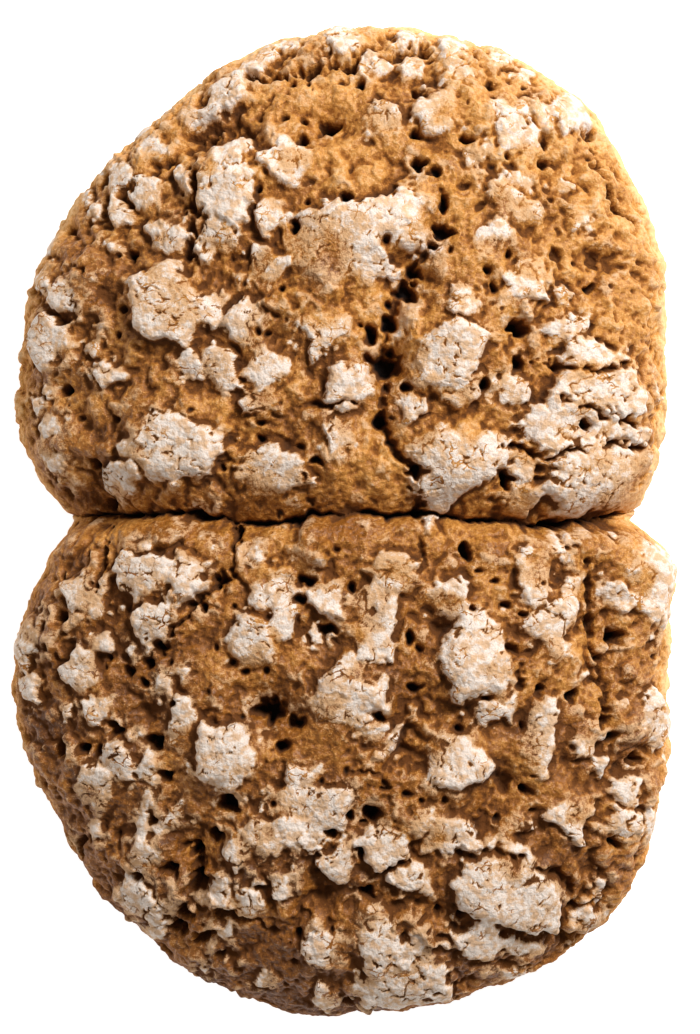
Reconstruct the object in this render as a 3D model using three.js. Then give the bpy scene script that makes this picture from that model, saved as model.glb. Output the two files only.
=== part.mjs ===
// Double rye bread roll: two round, flat loaves of rough rye dough that were proofed against
// each other and baked as one piece, joined along a seam across the middle.
//
// Millimetres, +Z up. The origin is the middle of the flat base, +Y runs along the pair from
// one roll to the other, +X runs along the seam.

import * as THREE from 'three';

// ---- Driving dimensions ----------------------------------------------------------------------

const ROLL_RADIUS = 66.5;        // of each roll, seen from above
const ROLL_OFFSET = 33.2;        // from the seam to the middle of each roll
const CROWN_HEIGHT = 33;         // of the crust above the base, before the lobes
const WAIST_HEIGHT = 9.5;        // of the widest level above the base
const BASE_TUCK = 6.5;           // how far the base edge lies inside the widest level
const CROWN_FULLNESS = 2.6;      // exponent: higher is flatter on top and steeper at the sides
const SIDE_ROUNDNESS = 2;        // exponent: 2 is an ellipse, higher is more upright

const SEAM_DEPTH = 8;            // of the valley between the two rolls
const SEAM_REACH = 6.5;          // how far up each roll's shoulder the valley runs

const CELLS_ACROSS = 40;         // facets along X
const CELLS_ALONG = 60;          // facets along Y
const WAIST_AT = 0.88;           // share of the way from the crown to the base edge
const EDGE_CROWDING = 6;         // higher keeps the facets even until closer to the waist

const CRUST_COLOUR = 0xa9753f;
const CRUST_ROUGHNESS = 0.9;

// Where the outline departs from two true circles: direction from the origin and reach of the
// departure in degrees, amount in millimetres.
const OUTLINE_DEPARTURES = [
  { at: 1, reach: 2.5, amount: -1.5 },
  { at: 29, reach: 7, amount: -1.8 },
  { at: 64, reach: 18, amount: 3.6 },
  { at: 119, reach: 19, amount: -4.8 },
  { at: 165, reach: 7, amount: 2.4 },
  { at: 180, reach: 3.5, amount: -2.2 },
  { at: 205, reach: 9, amount: 1.8 },
  { at: 234, reach: 14, amount: -1.9 },
  { at: 266, reach: 5, amount: 1.8 },
  { at: 303, reach: 16, amount: 4.4 },
  { at: 332, reach: 6, amount: -1.4 },
  { at: 352, reach: 6, amount: 4.6 },
];

// Lobes of the torn crust, and the hollows between them: centre, half length along X and half
// width along Y before the turn, turn in degrees, and height (negative for a hollow).
const LOBES = [
  { x: -24, y: 66, along: 9, across: 12, turn: 0, height: 2 },
  { x: -36, y: 43, along: 8, across: 9, turn: -40, height: 1.8 },
  { x: 2, y: 57, along: 13, across: 8, turn: 38, height: 2 },
  { x: 33, y: 78, along: 8, across: 8, turn: 0, height: 1.5 },
  { x: 21, y: 33, along: 9, across: 8, turn: 60, height: 1.6 },
  { x: 50, y: 27, along: 11, across: 6, turn: 0, height: 1.6 },
  { x: 23, y: 13, along: 10, across: 6, turn: 0, height: 1.6 },
  { x: 47, y: 10, along: 10, across: 6, turn: 0, height: 1.2 },
  { x: -36, y: 15, along: 11, across: 8, turn: 0, height: 2 },
  { x: -38, y: -14, along: 11, across: 10, turn: 0, height: 2 },
  { x: -18, y: -20, along: 7, across: 9, turn: 0, height: 1.5 },
  { x: 0, y: -34, along: 8, across: 8, turn: 0, height: 1.6 },
  { x: 26, y: -28, along: 8, across: 10, turn: 0, height: 2 },
  { x: -25, y: -47, along: 7, across: 9, turn: 30, height: 1.8 },
  { x: -17, y: -73, along: 10, across: 10, turn: 0, height: 2 },
  { x: 22, y: -49, along: 7, across: 8, turn: 0, height: 1.5 },
  { x: 33, y: -75, along: 13, across: 8, turn: -25, height: 2 },
  { x: 12, y: -88, along: 10, across: 7, turn: 0, height: 1.5 },
  { x: 59, y: -15, along: 6, across: 10, turn: 0, height: 1.5 },
  { x: 8, y: 36, along: 4, across: 9, turn: 0, height: -3 },
  { x: 12, y: 49, along: 5, across: 5, turn: 0, height: -2.2 },
  { x: -28, y: 77, along: 7, across: 4, turn: 0, height: -1.6 },
  { x: -4, y: 80, along: 5, across: 4, turn: 0, height: -2 },
  { x: -52, y: 6, along: 6, across: 6, turn: 0, height: -2.4 },
  { x: 50, y: -22, along: 4, across: 13, turn: 4, height: -2.4 },
  { x: -15, y: -39, along: 5, across: 5, turn: 0, height: -2 },
  { x: -31, y: -67, along: 5, across: 5, turn: 0, height: -2 },
  { x: 31, y: -55, along: 5, across: 5, turn: 0, height: -1.6 },
];

// Uneven baking over the whole crown: waves per millimetre along X and Y, phase, and height.
const SWELLS = [
  { alongX: 0.21, alongY: 0.13, phase: 0.4, height: 0.5 },
  { alongX: -0.16, alongY: 0.27, phase: 2.1, height: 0.4 },
  { alongX: 0.37, alongY: -0.31, phase: 4.4, height: 0.3 },
];

// ---- Outline ---------------------------------------------------------------------------------

function circlePairReach(angle) {
  const sideways = ROLL_OFFSET * Math.cos(angle);
  return ROLL_OFFSET * Math.abs(Math.sin(angle)) + Math.sqrt(ROLL_RADIUS ** 2 - sideways ** 2);
}

function degreesApart(a, b) {
  const turns = (a - b) / 360;
  return 360 * (turns - Math.round(turns));
}

function outlineReach(angle) {
  const degrees = THREE.MathUtils.radToDeg(angle);
  let reach = circlePairReach(angle);
  for (const departure of OUTLINE_DEPARTURES) {
    const share = degreesApart(degrees, departure.at) / departure.reach;
    reach += departure.amount * Math.exp(-share * share);
  }
  return reach;
}

// ---- Crust height ----------------------------------------------------------------------------

// 1 above the middle of a roll, 0 on the outline of the pair.
function domeShare(x, y) {
  const angle = Math.atan2(y, x);
  const scale = circlePairReach(angle) / outlineReach(angle);
  const fromMiddle = Math.hypot(x * scale, Math.abs(y * scale) - ROLL_OFFSET) / ROLL_RADIUS;
  return Math.max(0, 1 - fromMiddle ** CROWN_FULLNESS);
}

function seamDrop(y) {
  return SEAM_DEPTH * Math.exp(-Math.abs(y) / SEAM_REACH);
}

function lobeHeight(lobe, x, y) {
  const turn = THREE.MathUtils.degToRad(lobe.turn);
  const dx = x - lobe.x;
  const dy = y - lobe.y;
  const along = (dx * Math.cos(turn) + dy * Math.sin(turn)) / lobe.along;
  const across = (dy * Math.cos(turn) - dx * Math.sin(turn)) / lobe.across;
  return lobe.height * Math.exp(-((along * along + across * across) ** 2));
}

function crustRelief(x, y) {
  let relief = -seamDrop(y);
  for (const lobe of LOBES) {
    relief += lobeHeight(lobe, x, y);
  }
  for (const swell of SWELLS) {
    relief += swell.height * Math.sin(swell.alongX * x + swell.alongY * y + swell.phase);
  }
  return relief;
}

function crustHeight(x, y) {
  const share = domeShare(x, y) ** (1 / SIDE_ROUNDNESS);
  return WAIST_HEIGHT + share * (CROWN_HEIGHT - WAIST_HEIGHT + crustRelief(x, y));
}

// ---- Surface ---------------------------------------------------------------------------------

// The point of the crust in a direction, "way" running from 0 at the crown to 1 at the base edge.
function crustPoint(angle, way) {
  const reach = outlineReach(angle);
  if (way <= WAIST_AT) {
    const even = way / WAIST_AT;
    const radius = reach * even * (1 + (1 - even ** EDGE_CROWDING) / EDGE_CROWDING);
    const x = radius * Math.cos(angle);
    const y = radius * Math.sin(angle);
    return new THREE.Vector3(x, y, crustHeight(x, y));
  }
  const under = ((way - WAIST_AT) / (1 - WAIST_AT)) * (Math.PI / 2);
  const radius = reach - BASE_TUCK * (1 - Math.cos(under));
  const height = WAIST_HEIGHT * (1 - Math.sin(under));
  return new THREE.Vector3(radius * Math.cos(angle), radius * Math.sin(angle), height);
}

// A square grid bent into a disc, so that the facets stay even and none meet in a fan on top.
function gridToDirection(column, row) {
  const u = (2 * column) / CELLS_ACROSS - 1;
  const v = (2 * row) / CELLS_ALONG - 1;
  const way = Math.max(Math.abs(u), Math.abs(v));
  if (way === 0) {
    return { angle: 0, way };
  }
  const wide = Math.abs(u) > Math.abs(v);
  const sweep = (Math.PI / 4) * (wide ? v / u : u / v);
  const discX = wide ? u * Math.cos(sweep) : v * Math.sin(sweep);
  const discY = wide ? u * Math.sin(sweep) : v * Math.cos(sweep);
  const halfWidth = ROLL_RADIUS;
  const halfLength = ROLL_RADIUS + ROLL_OFFSET;
  return { angle: Math.atan2(discY * halfLength, discX * halfWidth), way };
}

function crustPositions() {
  const positions = [];
  for (let row = 0; row <= CELLS_ALONG; row += 1) {
    for (let column = 0; column <= CELLS_ACROSS; column += 1) {
      const { angle, way } = gridToDirection(column, row);
      positions.push(...crustPoint(angle, way).toArray());
    }
  }
  return positions;
}

function vertexAt(column, row) {
  return row * (CELLS_ACROSS + 1) + column;
}

function crustTriangles() {
  const triangles = [];
  for (let row = 0; row < CELLS_ALONG; row += 1) {
    for (let column = 0; column < CELLS_ACROSS; column += 1) {
      const a = vertexAt(column, row);
      const b = vertexAt(column + 1, row);
      const c = vertexAt(column + 1, row + 1);
      const d = vertexAt(column, row + 1);
      triangles.push(a, b, c, a, c, d);
    }
  }
  return triangles;
}

// The base edge, anticlockwise seen from above.
function baseEdge() {
  const edge = [];
  for (let column = 0; column < CELLS_ACROSS; column += 1) edge.push(vertexAt(column, 0));
  for (let row = 0; row < CELLS_ALONG; row += 1) edge.push(vertexAt(CELLS_ACROSS, row));
  for (let column = CELLS_ACROSS; column > 0; column -= 1) edge.push(vertexAt(column, CELLS_ALONG));
  for (let row = CELLS_ALONG; row > 0; row -= 1) edge.push(vertexAt(0, row));
  return edge;
}

function baseTriangles(middle) {
  const edge = baseEdge();
  return edge.flatMap((vertex, step) => [middle, edge[(step + 1) % edge.length], vertex]);
}

function ryeRollPair() {
  const positions = crustPositions();
  const middle = positions.length / 3;
  positions.push(0, 0, 0);

  const geometry = new THREE.BufferGeometry();
  geometry.setAttribute('position', new THREE.Float32BufferAttribute(positions, 3));
  geometry.setIndex([...crustTriangles(), ...baseTriangles(middle)]);
  geometry.computeVertexNormals();

  const crust = new THREE.MeshStandardMaterial({
    color: CRUST_COLOUR,
    roughness: CRUST_ROUGHNESS,
    metalness: 0,
  });
  const mesh = new THREE.Mesh(geometry, crust);
  mesh.name = 'rye_roll_pair';
  return mesh;
}

const doubleRoll = new THREE.Group();
doubleRoll.add(ryeRollPair());

export default doubleRoll;
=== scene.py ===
"""Double rye bread roll: two floured, craggy rounds baked as one piece, on a pale floor.

The crust is worked out in millimetres on a flat sheet, as if it were peeled off the roll and
pressed flat. Each kind of detail (lobes, torn crumb, floured plates, pores, cracks, the seam)
draws its own relief on that sheet, and the sheet is then wrapped back over the baked form.
"""

import logging
import math
from dataclasses import dataclass, field
from enum import Enum

import bpy
import numpy as np
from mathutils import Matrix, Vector


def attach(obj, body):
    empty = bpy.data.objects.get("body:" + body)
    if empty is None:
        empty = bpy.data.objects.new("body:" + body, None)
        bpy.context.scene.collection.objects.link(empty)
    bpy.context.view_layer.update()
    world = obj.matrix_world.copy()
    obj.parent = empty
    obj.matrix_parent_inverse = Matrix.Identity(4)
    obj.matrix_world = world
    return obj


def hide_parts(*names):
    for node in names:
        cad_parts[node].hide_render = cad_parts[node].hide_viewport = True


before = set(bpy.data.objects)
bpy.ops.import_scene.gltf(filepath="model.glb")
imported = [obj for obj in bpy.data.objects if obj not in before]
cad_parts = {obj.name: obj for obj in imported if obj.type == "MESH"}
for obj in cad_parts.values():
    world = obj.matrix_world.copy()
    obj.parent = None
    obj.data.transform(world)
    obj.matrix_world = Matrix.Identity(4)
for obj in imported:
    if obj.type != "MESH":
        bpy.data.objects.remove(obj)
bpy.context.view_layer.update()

MM = 0.001
NODE = "rye_roll_pair"
BODY = "root"
FAR = 99.0  # millimetres, farther than any detail reaches

Colour = tuple[float, float, float, float]

log = logging.getLogger("rye_roll")


# ---- Small helpers -----------------------------------------------------------------------------


def smoothstep(low: float, high: float, value: np.ndarray) -> np.ndarray:
    """Runs from 0 at low to 1 at high with soft ends.

    Args:
        low: Value at which the result starts to rise.
        high: Value at which it reaches 1; it may be below low for a falling step.
        value: What is compared.

    Returns:
        The eased share, between 0 and 1.
    """
    share = np.clip((value - low) / (high - low), 0.0, 1.0)
    return share * share * (3.0 - 2.0 * share)


def srgb(red: int, green: int, blue: int) -> Colour:
    """Turns a colour as seen on a screen, 0 to 255, into the linear colour that a shader takes.

    Args:
        red: Red level.
        green: Green level.
        blue: Blue level.

    Returns:
        Linear red, green, blue and an alpha of 1.
    """
    levels = [c / 255.0 for c in (red, green, blue)]
    linear = [c / 12.92 if c <= 0.04045 else ((c + 0.055) / 1.055) ** 2.4 for c in levels]
    return (linear[0], linear[1], linear[2], 1.0)


def turned(dx: np.ndarray, dy: np.ndarray, degrees: float) -> tuple[np.ndarray, np.ndarray]:
    """Offsets measured along and across a direction."""
    turn = math.radians(degrees)
    return dx * math.cos(turn) + dy * math.sin(turn), dy * math.cos(turn) - dx * math.sin(turn)


# ---- Noise -------------------------------------------------------------------------------------


@dataclass(frozen=True)
class Noise:
    """Seeded noise over the flat sheet, with features of a size given in millimetres."""

    seed: int
    tile: int = 256

    def rough(self, sheet: "Sheet", size: float, fade: float = 1.8, finest: float = 0.3) -> np.ndarray:
        """A rough field: strongest at one size, with fainter detail down to another.

        Args:
            sheet: The flat sheet.
            size: Width of the largest swells, in millimetres.
            fade: How fast finer detail fades; 1.2 is very rough, 2.5 is smooth.
            finest: Width of the finest detail, in millimetres.

        Returns:
            The field, with a mean of 0 and mostly within -1 and 1.
        """
        rng = np.random.default_rng(self.seed)
        waves = np.fft.rfft2(rng.standard_normal(sheet.a.shape))
        pitch_b, pitch_a = sheet.frequencies()
        per_size = np.hypot(pitch_a, pitch_b) * 2.0 * size
        gain = per_size ** 2 / (1.0 + per_size ** 2) ** (1.0 + fade / 2.0)
        gain *= np.exp(-((per_size / size * finest) ** 2))
        values = np.fft.irfft2(waves * gain, sheet.a.shape)
        return values / (2.0 * values.std())

    def cells(self, a: np.ndarray, b: np.ndarray, size: float) -> "Cells":
        """Splits the sheet into irregular cells around a scatter of points.

        Args:
            a: Places across the sheet, in millimetres.
            b: Places along the sheet, in millimetres.
            size: Mean distance between the points, in millimetres.

        Returns:
            The cells.
        """
        rng = np.random.default_rng(self.seed)
        jitter = rng.random((3, self.tile, self.tile)).astype(np.float32)
        x, y = (a / size).astype(np.float32), (b / size).astype(np.float32)
        column, row = np.floor(x).astype(np.int32), np.floor(y).astype(np.int32)
        x, y = x - column, y - row
        near = np.full(x.shape, 9.0, np.float32)
        second, off_a, off_b, level = (near.copy() for _ in range(4))
        for dx in (-1, 0, 1):
            for dy in (-1, 0, 1):
                spot = ((row + dy) % self.tile) * self.tile + (column + dx) % self.tile
                to_a = jitter[0].ravel()[spot] + dx - x
                to_b = jitter[1].ravel()[spot] + dy - y
                reach = to_a ** 2 + to_b ** 2
                closer = reach < near
                second = np.where(closer, near, np.minimum(second, reach))
                near = np.where(closer, reach, near)
                off_a, off_b = np.where(closer, to_a, off_a), np.where(closer, to_b, off_b)
                level = np.where(closer, jitter[2].ravel()[spot], level)
        return Cells(np.sqrt(near), np.sqrt(second) - np.sqrt(near), off_a * size, off_b * size, level)


@dataclass(frozen=True)
class Cells:
    """Irregular cells: distance to the middle and to the border as shares of the cell size, the
    way to the middle across and along the sheet in millimetres, and a level for each cell."""

    near: np.ndarray
    border: np.ndarray
    off_a: np.ndarray
    off_b: np.ndarray
    level: np.ndarray


# ---- The baked form ----------------------------------------------------------------------------


@dataclass(frozen=True)
class Departure:
    """A stretch where the outline leaves the two circles: its middle and reach in degrees, and
    how far out it stands there, in millimetres."""

    at: float
    reach: float
    amount: float


@dataclass(frozen=True)
class Lobe:
    """A broad swelling of the crust, or a hollow if its height is negative, in millimetres. Its
    turn is in degrees."""

    x: float
    y: float
    along: float
    across: float
    turn: float
    height: float


@dataclass
class BakedForm:
    """The smooth shape under the crust, in millimetres: two flat domes joined at a seam."""

    roll_radius: float = 66.5
    roll_offset: float = 33.2
    crown_height: float = 33.0
    waist_height: float = 9.5
    base_tuck: float = 6.5
    crown_fullness: float = 2.6
    waist_at: float = 0.88
    edge_crowding: float = 6.0
    departures: tuple[Departure, ...] = (
        Departure(1, 2.5, -1.5),
        Departure(29, 7, -1.8),
        Departure(64, 18, 3.6),
        Departure(119, 19, -4.8),
        Departure(165, 7, 2.4),
        Departure(180, 3.5, -2.2),
        Departure(205, 9, 1.8),
        Departure(234, 14, -1.9),
        Departure(266, 5, 1.8),
        Departure(303, 16, 4.4),
        Departure(332, 6, -1.4),
        Departure(352, 6, 4.6),
    )
    angle_steps: int = 1440
    way_steps: int = 240
    arc_table: np.ndarray = field(init=False, repr=False)
    even_shares: np.ndarray = field(init=False, repr=False)
    outward_shares: np.ndarray = field(init=False, repr=False)

    def __post_init__(self) -> None:
        """Measures the way from the crown to the base edge in every direction."""
        angles = np.linspace(0.0, 2.0 * math.pi, self.angle_steps + 1)
        ways = np.linspace(0.0, 1.0, self.way_steps + 1)
        points = self.points(angles[:, None], ways[None, :])
        steps = np.linalg.norm(np.diff(points, axis=1), axis=2)
        self.arc_table = np.concatenate(
            [np.zeros((len(angles), 1)), np.cumsum(steps, axis=1)], axis=1)
        self.even_shares = ways
        self.outward_shares = ways * self._spread(ways)

    def _spread(self, even: np.ndarray) -> np.ndarray:
        """How much farther out a point is than even steps would put it; steps crowd at the edge."""
        return 1.0 + (1.0 - even ** self.edge_crowding) / self.edge_crowding

    def circle_pair_reach(self, angle: np.ndarray) -> np.ndarray:
        """Distance from the origin to the outline of the two plain circles."""
        sideways = self.roll_offset * np.cos(angle)
        return (self.roll_offset * np.abs(np.sin(angle))
                + np.sqrt(self.roll_radius ** 2 - sideways ** 2))

    def outline_reach(self, angle: np.ndarray) -> np.ndarray:
        """Distance from the origin to the outline of the real roll.

        Args:
            angle: Directions from the origin, in radians.

        Returns:
            The distances, in millimetres.
        """
        reach = self.circle_pair_reach(angle)
        for bump in self.departures:
            turns = (np.degrees(angle) - bump.at) / 360.0
            apart = 360.0 * (turns - np.round(turns)) / bump.reach
            reach = reach + bump.amount * np.exp(-apart ** 2)
        return reach

    def dome_share(self, x: np.ndarray, y: np.ndarray) -> np.ndarray:
        """How much of the dome stands at a place.

        Args:
            x: Places along X, in millimetres.
            y: Places along Y, in millimetres.

        Returns:
            Shares, 1 above the middle of a roll and 0 on the outline of the pair.
        """
        angle = np.arctan2(y, x)
        scale = self.circle_pair_reach(angle) / self.outline_reach(angle)
        out = np.hypot(x * scale, np.abs(y * scale) - self.roll_offset) / self.roll_radius
        return np.maximum(0.0, 1.0 - out ** self.crown_fullness)

    def points(self, angle: np.ndarray, way: np.ndarray) -> np.ndarray:
        """Points of the smooth form.

        Args:
            angle: Directions from the origin, seen from above, in radians.
            way: How far each point is from the crown, 0, to the base edge, 1.

        Returns:
            The points, in millimetres, with X, Y and Z in the last axis.
        """
        angle, way = np.broadcast_arrays(angle, way)
        reach = self.outline_reach(angle)
        even = np.clip(way / self.waist_at, 0.0, 1.0)
        under = np.clip((way - self.waist_at) / (1.0 - self.waist_at), 0.0, 1.0) * (math.pi / 2.0)
        outward = reach * even * self._spread(even)
        radius = outward - self.base_tuck * (1.0 - np.cos(under))
        x, y = radius * np.cos(angle), radius * np.sin(angle)
        dome = np.sqrt(self.dome_share(outward * np.cos(angle), outward * np.sin(angle)))
        top = self.waist_height + dome * (self.crown_height - self.waist_height)
        height = np.where(way > self.waist_at, self.waist_height * (1.0 - np.sin(under)), top)
        return np.stack([x, y, height], axis=-1)

    def arc(self, angle: np.ndarray, way: np.ndarray) -> np.ndarray:
        """Length of the crust from the crown to a point.

        Args:
            angle: Directions from the origin, in radians.
            way: How far each point is from the crown, 0, to the base edge, 1.

        Returns:
            The lengths, in millimetres.
        """
        i = np.mod(angle, 2.0 * math.pi) / (2.0 * math.pi) * self.angle_steps
        j = np.clip(way, 0.0, 1.0) * self.way_steps
        i0 = np.minimum(i.astype(int), self.angle_steps - 1)
        j0 = np.minimum(j.astype(int), self.way_steps - 1)
        fi, fj = i - i0, j - j0
        table = self.arc_table
        return ((table[i0, j0] * (1 - fi) + table[i0 + 1, j0] * fi) * (1 - fj)
                + (table[i0, j0 + 1] * (1 - fi) + table[i0 + 1, j0 + 1] * fi) * fj)

    def unroll(self, x: np.ndarray, y: np.ndarray) -> tuple[np.ndarray, np.ndarray]:
        """Where points seen from above lie on the flat sheet.

        Args:
            x: Places along X, in millimetres.
            y: Places along Y, in millimetres.

        Returns:
            The places across and along the sheet, in millimetres.
        """
        x, y = np.asarray(x, float), np.asarray(y, float)
        angle = np.arctan2(y, x)
        share = np.clip(np.hypot(x, y) / self.outline_reach(angle), 0.0, 1.0)
        way = self.waist_at * np.interp(share, self.outward_shares, self.even_shares)
        length = self.arc(angle, way)
        return length * np.cos(angle), length * np.sin(angle)

    def waist_arc(self, angle: np.ndarray) -> np.ndarray:
        """Length of the crust from the crown to the widest level, in millimetres."""
        return self.arc(angle, np.full(np.shape(angle), self.waist_at))


# ---- The flat sheet ----------------------------------------------------------------------------


@dataclass
class Sheet:
    """The crust laid flat: a fine grid in millimetres on which its fields are drawn."""

    form: BakedForm
    half_width: float = 91.0
    half_length: float = 124.0
    pitch: float = 0.2
    a: np.ndarray = field(init=False, repr=False)
    b: np.ndarray = field(init=False, repr=False)
    above_waist: np.ndarray = field(init=False, repr=False)

    def __post_init__(self) -> None:
        """Lays out the grid and how far each spot is above the widest level."""
        across = np.arange(-self.half_width, self.half_width + self.pitch, self.pitch)
        along = np.arange(-self.half_length, self.half_length + self.pitch, self.pitch)
        self.a, self.b = np.meshgrid(across, along)
        angle = np.arctan2(self.b, self.a)
        self.above_waist = self.form.waist_arc(angle) - np.hypot(self.a, self.b)

    def blank(self) -> np.ndarray:
        """A field of zeros."""
        return np.zeros_like(self.a)

    def frequencies(self) -> tuple[np.ndarray, np.ndarray]:
        """Waves per millimetre of the sheet's Fourier transform.

        Returns:
            Those along the sheet, as a column, and those across it, as a row.
        """
        along = np.fft.fftfreq(self.a.shape[0], self.pitch)[:, None]
        across = np.fft.rfftfreq(self.a.shape[1], self.pitch)[None, :]
        return along, across

    def blur(self, values: np.ndarray, reach: float) -> np.ndarray:
        """Blurs a field.

        Args:
            values: The field.
            reach: One standard deviation of the blur, in millimetres.

        Returns:
            The blurred field.
        """
        along, across = self.frequencies()
        fade = np.exp(-2.0 * (math.pi * reach) ** 2 * (along ** 2 + across ** 2))
        return np.fft.irfft2(np.fft.rfft2(values) * fade, values.shape)

    def window(self, a: float, b: float, reach: float) -> tuple[slice, slice]:
        """The part of the grid within reach of a place.

        Args:
            a: The place across the sheet, in millimetres.
            b: The place along the sheet, in millimetres.
            reach: How far the part goes from the place, in millimetres.

        Returns:
            Its rows and columns.
        """
        column = (a + self.half_width) / self.pitch
        row = (b + self.half_length) / self.pitch
        cells = reach / self.pitch + 1
        rows = slice(max(0, int(row - cells)), min(self.a.shape[0], int(row + cells) + 1))
        columns = slice(max(0, int(column - cells)), min(self.a.shape[1], int(column + cells) + 1))
        return rows, columns

    def sample(self, values: np.ndarray, a: np.ndarray, b: np.ndarray) -> np.ndarray:
        """Reads a field between its grid points.

        Args:
            values: The field.
            a: Places across the sheet, in millimetres.
            b: Places along the sheet, in millimetres.

        Returns:
            One value for each place.
        """
        column = np.clip((a + self.half_width) / self.pitch, 0, values.shape[1] - 1.001)
        row = np.clip((b + self.half_length) / self.pitch, 0, values.shape[0] - 1.001)
        i, j = row.astype(int), column.astype(int)
        fi, fj = row - i, column - j
        return ((values[i, j] * (1 - fj) + values[i, j + 1] * fj) * (1 - fi)
                + (values[i + 1, j] * (1 - fj) + values[i + 1, j + 1] * fj) * fi)


# ---- What is drawn on the sheet ----------------------------------------------------------------


class Opening(Enum):
    """How a pore opens: a hole runs deep, with painted shade inside, a dimple is a shallow bowl.
    The value is its depth as a share of a hole's, and also sets how much painted shade it gets."""

    HOLE = 1.0
    DIMPLE = 0.35


@dataclass(frozen=True)
class Plate:
    """A raised island of the old dough skin with flour on it: sizes in millimetres, its flour 0
    to 1, its turn in degrees."""

    x: float
    y: float
    along: float
    across: float
    flour: float
    turn: float = 0.0


@dataclass(frozen=True)
class Pore:
    """An opening in the crust, sizes in millimetres."""

    x: float
    y: float
    wide: float
    high: float
    kind: Opening = Opening.HOLE


@dataclass(frozen=True)
class Crack:
    """A split along a line of points, its width and depth in millimetres."""

    points: tuple[tuple[float, float], ...]
    width: float
    depth: float


# Rows of Lobe: place, half length, half width, turn and height. The hollows come last.
LOBES = tuple(Lobe(*row) for row in (
    (-24, 66, 9, 12, 0, 2.0), (-36, 43, 8, 9, -40, 1.8), (2, 57, 13, 8, 38, 2.0),
    (33, 78, 8, 8, 0, 1.5), (21, 33, 9, 8, 60, 1.6), (50, 27, 11, 6, 0, 1.6),
    (23, 13, 10, 6, 0, 1.6), (47, 10, 10, 6, 0, 1.2), (-36, 15, 11, 8, 0, 2.0),
    (-38, -14, 11, 10, 0, 2.0), (-18, -20, 7, 9, 0, 1.5), (0, -34, 8, 8, 0, 1.6),
    (26, -28, 8, 10, 0, 2.0), (-25, -47, 7, 9, 30, 1.8), (-17, -73, 10, 10, 0, 2.0),
    (22, -49, 7, 8, 0, 1.5), (33, -75, 13, 8, -25, 2.0), (12, -88, 10, 7, 0, 1.5),
    (59, -15, 6, 10, 0, 1.5),
    (8, 36, 4, 9, 0, -3.0), (12, 49, 5, 5, 0, -2.2), (-28, 77, 7, 4, 0, -1.6),
    (-4, 80, 5, 4, 0, -2.0), (-52, 6, 6, 6, 0, -2.4), (50, -22, 4, 13, 4, -2.4),
    (-15, -39, 5, 5, 0, -2.0), (-31, -67, 5, 5, 0, -2.0), (31, -55, 5, 5, 0, -1.6),
))

# Rows of Plate: place, length, width, share of flour and, where it is turned, its angle in degrees.
UPPER_LEFT_PLATES = (
    (-24.3, 86.1, 10, 8, .85), (-18, 92.3, 9.5, 3.6, .8, 25), (-12, 96, 4, 2, .9), (.6, 96.8, 11, 5, .8),
    (-41.5, 78.5, 5, 4, .95, 45), (-37, 83, 2.6, 2.2, .9), (-38.8, 74.6, 5, 4, .7), (-30, 81.2, 6, 4, .7),
    (-45.5, 68.8, 5, 6, 1), (-40.5, 65.7, 8, 7, .75), (-33.5, 70, 3.2, 3.8, 1), (-45.7, 62.2, 5.4, 5.4, .9),
    (-52.8, 65.5, 2.2, 4, 1), (-50.8, 62.7, 2.2, 3.2, 1), (-39.3, 59, 4.6, 3.8, 1),
    (-35.6, 56.5, 7, 5.8, .8, 30), (-47.4, 55.3, 2, 2, 1), (-24.4, 68, 12, 19, .75), (-24, 65, 7, 9, .95),
    (-12.4, 71.8, 10.7, 9.5, .6), (-15.6, 61, 6.3, 7.9, .95), (-28.8, 54, 4.6, 5, 1), (-26, 57, 9, 5, .5),
    (-16, 51.5, 10, 6.3, .5), (-56.5, 45, 6, 8, 1), (-59.7, 36.2, 11, 12, 1), (-34.3, 51.3, 3.2, 2.6, 1),
    (-36, 43.3, 16.7, 14.7, .6, -40), (-26.7, 42.4, 4.6, 9, .9), (-20, 40, 6.6, 10, .75),
    (0, 57, 25, 14, .6, 38), (12, 60.6, 10, 13, .8), (4.2, 52.6, 7, 10, .75), (-5.2, 38.8, 12.5, 8, .5),
    (-60.3, 55.4, 2, 4.4, 1), (-61, 48.6, 3.8, 6.3, .8), (-51.4, 35.2, 3, 6, .8),
)
UPPER_RIGHT_PLATES = (
    (11.6, 97.5, 4.6, 4.6, .95), (21, 95, 6.7, 5.7, .9), (31, 93.5, 5.2, 4, .9), (13, 91, 5.7, 4.8, .9),
    (5.5, 90.7, 9, 2, .8), (22, 89.3, 5.4, 4.4, .7), (35.7, 89.7, 4.4, 3.6, .7), (18, 82.7, 7.7, 10.3, .45),
    (32, 81.8, 6.9, 6.9, .85), (34, 77, 10.5, 6.3, 1), (38.8, 81, 4.6, 5, .9), (45.6, 82.5, 8, 10, .95),
    (6.9, 81, 9, 5, .4), (27.7, 75.3, 2, 2, .8), (25, 72.8, 3, 2, .6), (33.5, 68, 7, 4, .6),
    (43.6, 67.4, 5, 2.2, .7), (33.4, 63.2, 14, 6, .35, -20), (28.5, 57, 8, 5, .7, 25),
    (46.5, 61, 4.7, 4.7, .5), (35.5, 48.6, 8.5, 10, .75), (43.8, 45.7, 4.4, 3.2, .95),
    (24, 44.2, 6, 6.3, .75), (44.6, 38.5, 10, 5, .85), (20.5, 33.6, 15.7, 11.5, .9, 60),
    (16.3, 54.6, 1.4, 1.4, 1),
)
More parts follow.
